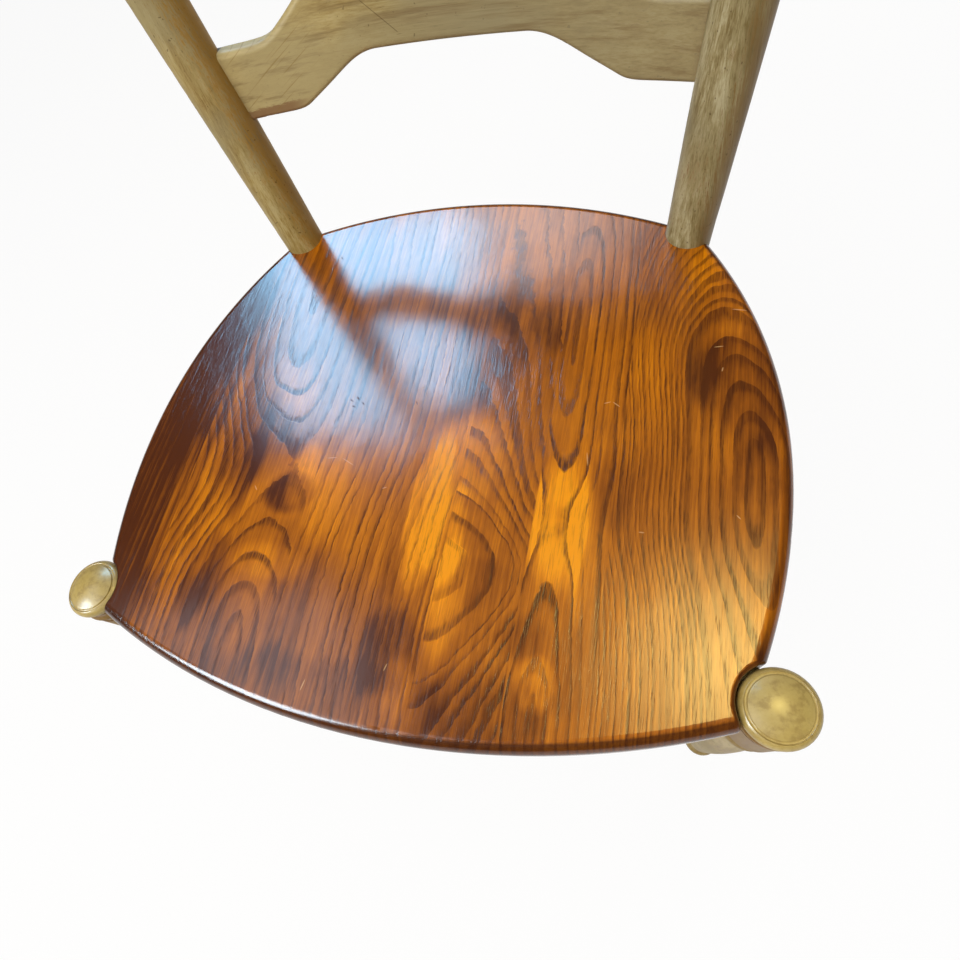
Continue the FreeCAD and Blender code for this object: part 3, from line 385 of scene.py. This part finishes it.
def seat_wood(node, grain):
    """Stained ash under a glossy coat, with the rings of one board."""
    wiring = Wiring(bpy.data.materials.new(node + "_wood"))
    math_of = wiring.math
    place = wiring.place()
    axes = wiring.axes(place)
    across = wiring.times(axes["X"], 1 / MM)
    back = wiring.times(math_of("SUBTRACT", axes["Y"], SEAT_FRONT), 1 / MM)
    span = board_span(node)

    # rings, each with a dark line of its own weight
    rings = ring_count(wiring, grain, place, across, back)
    phase = math_of("FRACT", rings)
    start = [1 - grain["line"] + shift for shift in LINE_START]
    dark_line = wiring.times(wiring.fade(phase, *start), wiring.fade(phase, *LINE_END))
    whole = math_of("FLOOR", rings)
    each_ring = wiring.node("TexWhiteNoise", (("W", whole),), noise_dimensions="1D").outputs["Value"]
    along_ring = wiring.noise(wiring.stretched(place, ALONG_RINGS), detail=2)
    weight = wiring.times(wiring.fade(each_ring, *OWN_WEIGHT), wiring.fade(along_ring, *WEIGHT_ALONG))

    # pores and streaks along the grain
    streaks = wiring.noise(wiring.stretched(place, STREAKS), detail=4, roughness=0.7)
    pores = wiring.noise(wiring.stretched(place, PORES), detail=2, roughness=0.7)
    pore_mask = wiring.times(wiring.fade(pores, *PORE_RANGE), wiring.fade(dark_line, *PORES_IN_LINE))
    line = wiring.times(dark_line, weight, wiring.fade(pores, *LINE_BROKEN))

    # stain: patches over a soft, smoky drift
    drift = wiring.noise(wiring.stretched(place, DRIFT), detail=4, roughness=0.6)
    ragged = math_of("ADD", wiring.spread(along_ring, RIM_ALONG_RINGS), wiring.spread(each_ring, RIM_BY_RING))
    tone = math_of("ADD", wiring.spread(drift, DRIFT_TONE), grain["tone"])
    tone = stain_tone(wiring, span, across, back, ragged, tone)
    tone = math_of("ADD", tone, wiring.spread(streaks, STREAK_TONE))
    tone = math_of("SUBTRACT", tone, wiring.times(wiring.fade(phase, *RING_DARKENS), RING_TONE))
    colour = wiring.ramp(tone, *STAIN)
    colour = wiring.mix(wiring.times(line, grain["contrast"]), colour, LINE_WOOD)
    colour = wiring.mix(wiring.times(pore_mask, PORE_DARK), colour, LINE_WOOD)

    # the rounded edges darken, partly gathered stain and partly painted shade, and small marks break the
    # finish
    near_ends = math_of("MAXIMUM", wiring.fade(back, *FRONT_EDGE_DARK), wiring.fade(back, *REAR_EDGE_DARK))
    edge_stain_and_shade = wiring.times(wiring.fade(wiring.facing()["Z"], *EDGE_TURN), near_ends)
    colour = wiring.mix(edge_stain_and_shade, colour, EDGE_WOOD)
    pale = mark_mask(wiring, span, across, back, PALE_MARKS)
    dents = mark_mask(wiring, span, across, back, DENTS)
    colour = wiring.mix(wiring.times(pale, MARK_PALE), colour, MARK_WOOD)
    colour = wiring.mix(wiring.times(dents, DENT_DARK), colour, EDGE_WOOD)

    # relief of the grain under a wavy coat
    relief = math_of("SUBTRACT", wiring.times(line, -LINE_SUNK), pore_mask)
    relief = math_of("MULTIPLY_ADD", streaks, STREAK_RAISED, relief)
    waves = wiring.noise(wiring.stretched(place, COAT_WAVES), detail=2)
    swell = wiring.bump(waves, SWELL_BUMP, COAT_SWELL)
    smear = wiring.noise(wiring.stretched(place, SMEARS), detail=4)
    return wiring.surface(
        Base_Color=colour, Roughness=wiring.fade(smear, *SMEAR_ROUGHNESS), IOR=LACQUER_IOR,
        Specular_IOR_Level=0.0, Normal=wiring.bump(relief, WOOD_BUMP, GRAIN_RELIEF, swell),
        Coat_Weight=math_of("SUBTRACT", 1.0, dents), Coat_Roughness=COAT_ROUGHNESS, Coat_IOR=LACQUER_IOR,
        Coat_Normal=wiring.bump(relief, COAT_BUMP, GRAIN_RELIEF, swell))


# Painted wood; a set of colours holds its shade, its plain tone, its pale tone and its grey

KHAKI_SHADE = srgb(140, 114, 60)
KHAKI_PALE = srgb(192, 176, 126)
KHAKI = (KHAKI_SHADE, srgb(170, 149, 92), KHAKI_PALE, srgb(156, 145, 108))
ASHEN_GREY = srgb(148, 140, 110)
ASHEN = (srgb(120, 104, 64), srgb(154, 142, 102), srgb(188, 180, 146), ASHEN_GREY)
# wax yellow of the front legs' buttons, lightened in part as a painted highlight
WAX_AND_HIGHLIGHT = srgb(188, 164, 90)
RUBBED = srgb(122, 86, 34)
BARE_DARK = srgb(66, 44, 20)
# colours of rub and painted shade on the posts' sides that face right, away from the light
GOLDEN_SIDE_RUB_AND_SHADE = srgb(168, 126, 50)
BROWN_SIDE_RUB_AND_SHADE = srgb(122, 92, 44)

# Heights where a finish starts and where it is full, and its share at both where that isn't none and all
# heights of the rub and painted shade on the posts' right sides
SIDE_RUB_AND_SHADE_TOP = (0.86, 0.70)
SIDE_RUB_AND_SHADE_FOOT = (0.38, 0.46)
BUTTON_GLOSS = (SEAT_TOP - 0.014, SEAT_TOP)
# where the neck under a front leg's button is darkened as painted shade
NECK_SHADE_TOP = (SEAT_TOP - 0.010, SEAT_TOP - 0.018)
NECK_SHADE_FOOT = (SEAT_TOP - 0.13, SEAT_TOP - 0.06, 0.25, 0.75)
BUTTON_RAGGED = 0.004
BUTTON_WAX_AND_HIGHLIGHT = 0.8

# How noise lies along the wood's length: upright, across the chair, front to back
UPRIGHT = (220, 220, 9)
CROSSWISE = (9, 220, 220)
ENDWISE = (220, 9, 220)
TURNED = (70, 70, 9)

# Sizes of the paint's noises: along the grain, then the same every way
BAND_SCALE = 0.4
FINE_SCALE = 4.2
LINE_SCALE = 9.0
PATCH_SCALE = 9.0
CLOUD_SCALE = 26.0
SPECK_SCALE = 330.0
GRIME_SCALE = 150.0

# Shares of the noises in the paint's tone, and the tones of its shade, plain and pale colours
BRUSH_TONE = 0.45
FINE_TONE = 0.55
CLOUD_TONE = 0.25
BAND_TONE = 0.45
TONES = (0.36, 0.5, 0.64)

# Ranges of a fade, as for the seat
GREY_PATCHES = (0.42, 0.62, 0.0, 0.7)
EDGE_BEND = (0.995, 0.88)           # rounded normal against the true one: flat, well over an edge
EDGE_STREAKS = (0.6, 0.95)
EDGE_FINE = 0.6                     # the fine noise's share in those streaks
RUB_RANGE = (0.64, 0.80)            # streaks where the rub starts and is full on wood that is not worn
RUB_WORN = 0.12                     # how much lower both are on wood that is fully worn
RUB_TOP = 0.8
DARK_LINES = (0.60, 0.74, 0.0, 0.45)
DARK_SPECKS = (0.71, 0.76, 0.0, 0.55)
BUTTON_GRIME = (0.46, 0.66, 0.0, 0.6)
PAINT_ROUGHNESS = (0.5, 0.9, 0.38, 0.54)
ROUGHNESS_FINE = 0.4                # the fine noise's share in it

SIDE_SOFT = 0.5
SIDE_RAGGED = 2.2
SIDE_TOP = 0.75
BUTTON_COAT = 0.85
WAX_COAT_ROUGHNESS = 0.26
PAINT_SPECULAR = 0.15
PAINT_BUMP = 0.25
PAINT_RELIEF = 0.0003               # metres


def painted_wood(name, stretch, worn=0.5, edge=0.006, side=None, side_from=0.5, gloss=False, marks=None,
                 colours=KHAKI):
    """Paint worn through along the grain and at edges. The stretch is low along the grain.
    A side colour, rub and painted shade together, shows where the wood faces right by more than side_from."""
    wiring = Wiring(bpy.data.materials.new(name))
    math_of = wiring.math
    place = wiring.place()
    height = wiring.axes(place)["Z"]
    along = wiring.stretched(place, stretch)
    brush = wiring.noise(along, detail=4, roughness=0.6)
    fine = wiring.noise(along, FINE_SCALE, roughness=0.65)
    bands = wiring.noise(along, BAND_SCALE, detail=2)
    patch = wiring.noise(place, PATCH_SCALE)
    cloud = wiring.noise(place, CLOUD_SCALE, detail=4)

    # brushed paint in bands, greyer in patches
    shade, plain, pale, grey = colours
    tone = math_of("ADD", wiring.times(brush, BRUSH_TONE), wiring.times(fine, FINE_TONE))
    sway = math_of("ADD", wiring.spread(cloud, CLOUD_TONE), wiring.spread(bands, BAND_TONE))
    colour = wiring.ramp(math_of("ADD", tone, sway), *zip(TONES, (shade, plain, pale)))
    colour = wiring.mix(wiring.fade(patch, *GREY_PATCHES), colour, grey)

    # edges stand out where the rounded normal leaves the true one
    rounded = wiring.node("Bevel", (("Radius", edge),), samples=4).outputs[0]
    true = wiring.node("NewGeometry").outputs["Normal"]
    bend = wiring.node("VectorMath", ((0, rounded), (1, true)), operation="DOT_PRODUCT").outputs["Value"]
    edge_streak = wiring.fade(math_of("MULTIPLY_ADD", fine, EDGE_FINE, brush), *EDGE_STREAKS)
    edge_rub = wiring.times(wiring.fade(bend, *EDGE_BEND), edge_streak)
    streak = math_of("ADD", wiring.times(fine, 0.5), wiring.times(cloud, 0.5))
    rub = wiring.fade(streak, *(limit - RUB_WORN * worn for limit in RUB_RANGE), 0.0, RUB_TOP)
    colour = wiring.mix(math_of("MAXIMUM", rub, edge_rub), colour, RUBBED)
    # rub and painted shade on the side that faces right, away from the light
    if side:
        turned_right = math_of("ADD", wiring.facing()["X"], wiring.spread(fine, SIDE_RAGGED))
        side_rub_and_shade = wiring.times(wiring.fade(turned_right, side_from, side_from + SIDE_SOFT, 0.0, SIDE_TOP),
                              wiring.fade(height, *SIDE_RUB_AND_SHADE_TOP), wiring.fade(height, *SIDE_RUB_AND_SHADE_FOOT))
        colour = wiring.mix(side_rub_and_shade, colour, side)

    # dark grain lines and specks that hold the old finish
    lines = wiring.noise(along, LINE_SCALE, detail=2, roughness=0.7)
    colour = wiring.mix(wiring.fade(lines, *DARK_LINES), colour, BARE_DARK)
    specks = wiring.noise(place, SPECK_SCALE, detail=1)
    colour = wiring.mix(wiring.fade(specks, *DARK_SPECKS), colour, BARE_DARK)
    if marks:
        colour = marks(wiring, place, colour, fine)

    relief = math_of("SUBTRACT", wiring.times(fine, 0.5), wiring.times(lines, 0.5))
    dull = wiring.fade(math_of("MULTIPLY_ADD", fine, ROUGHNESS_FINE, patch), *PAINT_ROUGHNESS)
    coat = wiring.fade(height, *BUTTON_GLOSS, 0.0, BUTTON_COAT) if gloss else 0.0
    return wiring.surface(Base_Color=colour, Roughness=dull, Specular_IOR_Level=PAINT_SPECULAR,
                          Coat_Weight=coat, Coat_Roughness=WAX_COAT_ROUGHNESS,
                          Normal=wiring.bump(relief, PAINT_BUMP, PAINT_RELIEF))


# The leaning back, as in the part, in millimetres and degrees

BACK_LEAN = math.radians(7.45)
BACK_FOOT = (141.37, 447.0)         # back and up, where the posts' axes stand on the seat
POST_SPREAD = math.radians(6.1)
FOOT_HALF_SPAN = 162.0
BACK_BOW = 27.0
BOW_BACK = 2.5

# The lower back rail's wear, a painted shadow at its seams, and paint paler to the left and greyer to the
# right: ranges of a fade, as for the seat, with places in metres
PALE_LEFT = (-0.03, -0.12, 0.0, 0.6)        # across
ASHEN_RIGHT = (-0.06, 0.04, 0.0, 0.65)
LOBE_WEAR = (-0.104, -0.126, 0.0, 0.9)
LOBE_WEAR_TOP = (0.5640, 0.5625)            # height
LOBE_RAGGED = 0.005
SEAM_FROM_AXIS = 15.6                       # millimetres from a post's axis to the seam with the rail
SEAM_SHADOW = (-0.0022, -0.0012, 0.0, 0.8)         # past that line, a dark line painted as shadow at the seam
SMUDGES = (7, 90, 170)                      # how its noise is stretched
SMUDGED = (0.50, 0.70, 0.0, 0.55)
SCRATCHED = (-0.150, -0.098)                # across: between these lie fine slanting scratches
SCRATCHED_SOFT = 0.01
SCRATCH_SLANT = math.radians(-62)
FINE_SCRATCHES = (800, 12, 14)              # how their noise is stretched
FINE_SCRATCHED = (0.60, 0.72, 0.0, 0.5)
SCRATCH = ((-0.0529, 0.6124), (-0.0325, 0.5913))    # one long scratch: across and up, at both ends
SCRATCH_ACROSS = (0.00048, 0.0, 0.0, 0.6)
SCRATCH_START = (-0.02, 0.05)               # shares of its length
SCRATCH_END = (1.0, 0.93)
WORN_WOOD = srgb(140, 108, 74)
SMUDGE = srgb(118, 96, 62)


def bare_lobe(wiring, axes, fine):
    """Bare wood along the left lobe's lower edge."""
    ragged = wiring.math("ADD", axes["Z"], wiring.spread(fine, LOBE_RAGGED))
    return wiring.times(wiring.fade(axes["X"], *LOBE_WEAR), wiring.fade(ragged, *LOBE_WEAR_TOP))


def seam_shadow(wiring, axes):
    """Painted shadow in a dark line along the seam between the rail and the posts, which spread upwards."""
    up = wiring.math("SUBTRACT", axes["Z"], BACK_FOOT[1] * MM)
    foot = (FOOT_HALF_SPAN - SEAM_FROM_AXIS) * MM
    seam = wiring.math("MULTIPLY_ADD", up, math.tan(POST_SPREAD), foot)
    past_seam = wiring.math("SUBTRACT", wiring.math("ABSOLUTE", axes["X"]), seam)
    return wiring.fade(past_seam, *SEAM_SHADOW)


def fine_scratches(wiring, place, axes):
    """Faint slanting scratches on the left lobe."""
    slanted = wiring.stretched(place, (1, 1, 1), rotation=(0, SCRATCH_SLANT, 0))
    thin = wiring.noise(wiring.stretched(slanted, FINE_SCRATCHES), detail=1)
    left, right = SCRATCHED
    region = wiring.times(wiring.fade(axes["X"], left - SCRATCHED_SOFT, left),
                          wiring.fade(axes["X"], right + SCRATCHED_SOFT, right))
    return wiring.times(wiring.fade(thin, *FINE_SCRATCHED), region)


def long_scratch(wiring, axes):
    """One scratch from end to end, thin at its ends."""
    math_of = wiring.math
    start, end = (Vector(point) for point in SCRATCH)
    run = end - start
    off_x = math_of("SUBTRACT", axes["X"], start.x)
    off_z = math_of("SUBTRACT", axes["Z"], start.y)
    along = math_of("MULTIPLY_ADD", off_x, run.x, wiring.times(off_z, run.y))
    along = math_of("DIVIDE", along, run.length_squared)
    aside = math_of("MULTIPLY_ADD", off_x, run.y / run.length, wiring.times(off_z, -run.x / run.length))
    ends = wiring.times(wiring.fade(along, *SCRATCH_START), wiring.fade(along, *SCRATCH_END))
    return wiring.times(wiring.fade(math_of("ABSOLUTE", aside), *SCRATCH_ACROSS), ends)


def rail_marks(wiring, place, colour, fine):
    """Marks of use on the lower back rail, a painted shadow at its seams with the posts, and paint paler to
    the left and greyer to the right.
    """
    axes = wiring.axes(place)
    smudge = wiring.noise(wiring.stretched(place, SMUDGES), detail=4, roughness=0.65)
    colour = wiring.mix(wiring.fade(axes["X"], *PALE_LEFT), colour, KHAKI_PALE)
    colour = wiring.mix(wiring.fade(axes["X"], *ASHEN_RIGHT), colour, ASHEN_GREY)
    colour = wiring.mix(wiring.fade(smudge, *SMUDGED), colour, SMUDGE)
    colour = wiring.mix(bare_lobe(wiring, axes, fine), colour, WORN_WOOD)
    # painted shadow along the seams with the posts
    colour = wiring.mix(seam_shadow(wiring, axes), colour, BARE_DARK)
    colour = wiring.mix(fine_scratches(wiring, place, axes), colour, KHAKI_SHADE)
    return wiring.mix(long_scratch(wiring, axes), colour, BARE_DARK)


def leg_marks(wiring, place, colour, fine):
    """A front leg's button is waxed yellow, its top lighter in part as a painted highlight, and grimy from
    hands; the neck under it is browner as painted shade.
    """
    ragged = wiring.math("ADD", wiring.axes(place)["Z"], wiring.spread(fine, BUTTON_RAGGED))
    on_button = wiring.fade(ragged, *BUTTON_GLOSS)
    # wax yellow on the button, partly a painted highlight
    colour = wiring.mix(wiring.times(on_button, BUTTON_WAX_AND_HIGHLIGHT), colour, WAX_AND_HIGHLIGHT)
    grime = wiring.noise(place, GRIME_SCALE, detail=5, roughness=0.65)
    grime = wiring.times(wiring.fade(grime, *BUTTON_GRIME), on_button)
    colour = wiring.mix(grime, colour, KHAKI_SHADE)
    # painted shade on the neck under the button
    neck = wiring.times(wiring.fade(ragged, *NECK_SHADE_TOP), wiring.fade(ragged, *NECK_SHADE_FOOT))
    return wiring.mix(neck, colour, RUBBED)


# Metal and nylon

ZINC_STREAKS = (900, 900, 120)
ZINC_TONES = ((0.3, srgb(120, 122, 124)), (0.7, srgb(176, 178, 180)))
ZINC_ROUGHNESS = (0.3, 0.7, 0.28, 0.5)
NYLON_SCUFFS = (500, 500, 900)
NYLON_TONES = ((0.35, srgb(66, 50, 36)), (0.7, srgb(98, 78, 58)))
NYLON_ROUGHNESS = (0.3, 0.7, 0.4, 0.6)


def brushed_steel():
    """Zinc plated fasteners, faintly streaked."""
    wiring = Wiring(bpy.data.materials.new("zinc_steel"))
    streaks = wiring.noise(wiring.stretched(wiring.place(), ZINC_STREAKS))
    colour = wiring.ramp(streaks, *ZINC_TONES)
    return wiring.surface(Base_Color=colour, Metallic=1.0, Roughness=wiring.fade(streaks, *ZINC_ROUGHNESS))


def brown_nylon():
    """Moulded foot glides with a faint scuff."""
    wiring = Wiring(bpy.data.materials.new("brown_nylon"))
    scuffs = wiring.noise(wiring.stretched(wiring.place(), NYLON_SCUFFS), detail=4)
    colour = wiring.ramp(scuffs, *NYLON_TONES)
    return wiring.surface(Base_Color=colour, Roughness=wiring.fade(scuffs, *NYLON_ROUGHNESS))


# Carved grains on the ears of the sheaf

# The sheaf as in the part, in millimetres across, back and up the slope of the leaning back
WAIST = 262.0
STALK_STEP = 8.2
BEND_RISE = 64.0
EAR_RISE = 72.0
FAN_STEP = math.radians(9.7)
EAR_FULLEST = (34.0, 8.2)           # how far along an ear it is fullest, and its radius there
EAR_NARROWING = 0.0036              # the radius falls by this times the square of the way from there
SIDE_STALKS = 3

GRAIN_ROWS = 6
GRAINS_ROUND = 5
GRAIN_FIRST = 9.0
GRAIN_PITCH = 9.6
GRAIN_HALF = (3.1, 2.0, 6.4)        # across, out of the ear and along it
GRAIN_SUNK = 0.4
GRAIN_LEAN = math.radians(14)
GRAIN_SIDES = 10
GRAIN_RINGS = 7


def on_back(across, back, up):
    """A point of the leaning back, in metres in the part's frame."""
    y = BACK_FOOT[0] + back * math.cos(BACK_LEAN) + up * math.sin(BACK_LEAN)
    z = BACK_FOOT[1] - back * math.sin(BACK_LEAN) + up * math.cos(BACK_LEAN)
    return Vector((across, y, z)) * MM


def on_bow(across, up):
    """A point of the bowed middle surface of the back."""
    half_span = FOOT_HALF_SPAN + up * math.tan(POST_SPREAD)
    return Vector((across, BACK_BOW * (1 - (across / half_span) ** 2) + BOW_BACK, up))


def ear_axis(index):
    """Foot and direction of an ear's axis; the ears fan out from the middle one."""
    waist = on_bow(STALK_STEP * index, WAIST)
    angle = abs(index) * FAN_STEP
    if index == 0:
        return waist + Vector((0, 0, BEND_RISE)), Vector((0, 0, 1))
    side = math.copysign(1, index)
    spread = BEND_RISE * math.tan(angle / 2) + EAR_RISE * math.tan(angle)
    outward = on_bow(waist.x + side * spread, WAIST + BEND_RISE + EAR_RISE) - waist
    outward.z = 0
    outward.normalize()
    swing = BEND_RISE / math.sin(angle) * (1 - math.cos(angle))
    foot = waist + Vector((0, 0, BEND_RISE)) + outward * swing
    return foot, Vector((0, 0, math.cos(angle))) + outward * math.sin(angle)


def ear_radius(station):
    fullest, radius = EAR_FULLEST
    return radius - EAR_NARROWING * (station - fullest) ** 2


def carve_ear(index, material):
    """Rows of carved grains round one ear, every other row turned by half a step."""
    foot, along = ear_axis(index)
    side = along.cross(Vector((0, 1, 0))).normalized()
    front = side.cross(along)
    wide, thick, long = GRAIN_HALF
    mesh = bmesh.new()
    for row in range(GRAIN_ROWS):
        station = GRAIN_FIRST + row * GRAIN_PITCH
        for step in range(GRAINS_ROUND):
            turn = math.tau * (step + 0.5 * (row % 2)) / GRAINS_ROUND
            out = side * math.cos(turn) + front * math.sin(turn)
            centre = foot + along * station + out * (ear_radius(station) - GRAIN_SUNK)
            lie = along * math.cos(GRAIN_LEAN) + out * math.sin(GRAIN_LEAN)
            lift = out * math.cos(GRAIN_LEAN) - along * math.sin(GRAIN_LEAN)
            shape = Matrix((lift.cross(lie) * wide, lift * thick, lie * long)).transposed()
            ball = bmesh.ops.create_uvsphere(mesh, u_segments=GRAIN_SIDES, v_segments=GRAIN_RINGS, radius=1.0)
            for vertex in ball["verts"]:
                vertex.co = on_back(*(centre + shape @ vertex.co))
    for face in mesh.faces:
        face.smooth = True
    data = bpy.data.meshes.new("ear_grains")
    mesh.to_mesh(data)
    mesh.free()
    piece = bpy.data.objects.new("ear_grains_%d" % (index + SIDE_STALKS + 1), data)
    bpy.context.scene.collection.objects.link(piece)
    data.materials.append(material)
    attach(piece, "root")


def carve_ears():
    material = painted_wood("paint_grains", UPRIGHT, worn=0.6, edge=0.002)
    for index in range(-SIDE_STALKS, SIDE_STALKS + 1):
        carve_ear(index, material)


# Finishes of the chair's pieces

def dress(node, material):
    """Give a piece its finish."""
    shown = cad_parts[node]
    shown.data.materials.clear()
    shown.data.materials.append(material)


def make_finishes():
    """The finishes by a word in a piece's name; the first word that fits counts."""
    crosswise = painted_wood("paint_crosswise", CROSSWISE)
    endwise = painted_wood("paint_endwise", ENDWISE)
    steel = brushed_steel()
    return {
        "seat_screws": steel,
        "tenon_pins": steel,
        "glide": brown_nylon(),
        "left_back_post": painted_wood("paint_left_post", UPRIGHT, worn=0.9, side=GOLDEN_SIDE_RUB_AND_SHADE),
        "right_back_post": painted_wood("paint_right_post", UPRIGHT, worn=0.9, side=BROWN_SIDE_RUB_AND_SHADE,
                                        side_from=0.15, colours=ASHEN),
        "front_leg": painted_wood("paint_turned", TURNED, worn=0.3, gloss=True, marks=leg_marks),
        "lower_back_rail": painted_wood("paint_back_rail", CROSSWISE, worn=0.7, marks=rail_marks),
        "crest_rail": crosswise,
        "sheaf_tie": crosswise,
        "front_stretcher": crosswise,
        "rear_stretcher": crosswise,
        "front_seat_rail": crosswise,
        "rear_seat_rail": crosswise,
        "stretcher": endwise,
        "seat_rail": endwise,
        "wheat_stalk": painted_wood("paint_upright", UPRIGHT),
    }


def dress_chair():
    finishes = make_finishes()
    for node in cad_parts:
        if node in BOARDS:
            dress(node, seat_wood(node, BOARDS[node]))
        else:
            dress(node, next(finish for word, finish in finishes.items() if word in node))


# Room

FLOOR_SIZE = 14.0
FLOOR_GLOW = 0.92
FLOOR_TONES = ((0.0, (0.90, 0.90, 0.90, 1)), (1.0, (0.94, 0.94, 0.94, 1)))
WHITE = (1, 1, 1, 1)
ROOM_COLOUR = (1.0, 0.95, 0.88, 1)
ROOM_GLOW = 0.09
SEAT_MIDDLE = (0, 0, SEAT_TOP)
WARM_WHITE = (1.0, 0.97, 0.92)
WINDOW_ROLL = math.radians(-28)
LAMP_MIDDLE = (0.5, 0.5, 0.0)
LAMP_RIM = 0.5


def make_floor():
    """A pale floor that reads as white to the camera and keeps a soft shadow."""
    bpy.ops.mesh.primitive_plane_add(size=FLOOR_SIZE, location=(0, 0, 0))
    floor = bpy.context.object
    floor.name = "floor"
    wiring = Wiring(bpy.data.materials.new("floor_white"))
    speckle = wiring.noise(wiring.place(), scale=3.0, detail=2)
    matte = wiring.node("BsdfDiffuse", (("Color", wiring.ramp(speckle, *FLOOR_TONES)),)).outputs[0]
    glow = wiring.node("Emission", (("Color", WHITE), ("Strength", 1.0))).outputs[0]
    path = wiring.node("LightPath").outputs
    seen = wiring.math("MAXIMUM", path["Is Camera Ray"], path["Is Glossy Ray"])
    seen = wiring.math("MAXIMUM", seen, path["Is Transmission Ray"])
    both = wiring.node("MixShader", ((0, wiring.times(seen, FLOOR_GLOW)), (1, matte), (2, glow)))
    floor.data.materials.append(wiring.show(both))


def fade_to_rim(lamp):
    """Let a lamp's light fade from its middle to its rim."""
    wiring = Wiring(lamp)
    spot = wiring.node("NewGeometry").outputs["Parametric"]
    off = wiring.node("VectorMath", ((0, spot), (1, LAMP_MIDDLE)), operation="SUBTRACT").outputs["Vector"]
    far = wiring.node("VectorMath", ((0, off),), operation="LENGTH").outputs["Value"]
    wiring.show(wiring.node("Emission", (("Strength", wiring.fade(far, LAMP_RIM, 0.0)),)), "Light")


def soft_light(name, place, size, glow, colour, target=SEAT_MIDDLE, roll=0.0, faded=False, on_paint=True,
               in_gloss=True):
    """A rectangular soft box at a place, facing a target; glow is its radiance."""
    lamp = bpy.data.lights.new(name, "AREA")
    lamp.shape = "RECTANGLE"
    lamp.size, lamp.size_y = size
    lamp.energy = glow * math.pi * size[0] * size[1]
    lamp.color = colour
    if faded:
        fade_to_rim(lamp)
    holder = bpy.data.objects.new(name, lamp)
    bpy.context.scene.collection.objects.link(holder)
    facing = (Vector(target) - Vector(place)).to_track_quat("-Z", "Y")
    holder.location = place
    holder.rotation_euler = (facing @ Quaternion((0, 0, 1), roll)).to_euler()
    holder.visible_diffuse = on_paint
    holder.visible_glossy = in_gloss


def make_lights():
    """Soft boxes light the chair; a cool window, a warm lamp and pale walls show only in its gloss."""
    soft_light("ceiling", (0.1, -0.2, 2.6), (2.2, 2.2), 1.8, WARM_WHITE, in_gloss=False)
    soft_light("fill", (-0.7, -1.85, 2.2), (2.4, 1.6), 4.4, (1.0, 0.96, 0.88), in_gloss=False)
    soft_light("back_fill", (0.4, 2.1, 1.8), (2.0, 1.6), 1.6, WARM_WHITE, in_gloss=False)
    soft_light("window", (-0.72, 0.865, 1.50), (0.64, 0.70), 19.0, (0.29, 0.66, 1.0),
               target=(-0.06, 0.04, SEAT_TOP), roll=WINDOW_ROLL, on_paint=False)
    soft_light("lamp", (0.42, 0.06, 2.0), (0.9, 0.9), 18.0, (1.0, 0.82, 0.26),
               target=(0.2, -0.15, SEAT_TOP), faded=True, on_paint=False)
    soft_light("back_wall", (-0.55, 2.2, 2.4), (1.9, 1.0), 8.0, (0.94, 0.94, 1.0), faded=True, on_paint=False)
    soft_light("left_wall", (-1.1, -0.6, 2.4), (1.6, 0.9), 2.7, (0.74, 0.86, 1.0), on_paint=False)
    soft_light("left_box", (-1.3, -1.25, 1.7), (0.9, 0.9), 26.0, (0.76, 0.90, 1.0), on_paint=False)


def make_world():
    """A dim warm room that reads as white to the camera."""
    world = bpy.data.worlds.new("room")
    bpy.context.scene.world = world
    wiring = Wiring(world)
    dim = wiring.node("Background", (("Color", ROOM_COLOUR), ("Strength", ROOM_GLOW))).outputs[0]
    white = wiring.node("Background", (("Color", WHITE), ("Strength", 1.0))).outputs[0]
    seen = wiring.node("LightPath").outputs["Is Camera Ray"]
    wiring.show(wiring.node("MixShader", ((0, seen), (1, dim), (2, white))), "World")


def make_camera():
    """The eye at its fitted place, looking down over the right front corner of the seat."""
    half = FRAME_PIXELS / 2
    below_eye = [(pixel - half) / FOCAL_PIXELS for pixel in NADIR_PIXEL]
    down = Vector((*below_eye, 1)).normalized()
    up = -down
    level_x = (Vector((1, 0, 0)) - down * down.x).normalized()
    level_y = up.cross(level_x)
    world_x = level_x * math.cos(CAMERA_YAW) + level_y * math.sin(CAMERA_YAW)
    world_y = level_y * math.cos(CAMERA_YAW) - level_x * math.sin(CAMERA_YAW)
    right, below, ahead = Matrix((world_x, world_y, up)).col
    turn = Matrix((right, -below, -ahead)).transposed()
    lens = bpy.data.cameras.new("eye")
    lens.sensor_width = SENSOR_WIDTH
    lens.lens = SENSOR_WIDTH * FOCAL_PIXELS / FRAME_PIXELS
    lens.clip_start = CLIP_START
    eye = bpy.data.objects.new("eye", lens)
    bpy.context.scene.collection.objects.link(eye)
    eye.matrix_world = Matrix.Translation(EYE) @ turn.to_4x4()
    bpy.context.scene.camera = eye


make_floor()
make_lights()
make_world()
make_camera()
dress_chair()
carve_ears()
bpy.context.scene.view_settings.view_transform = "Standard"
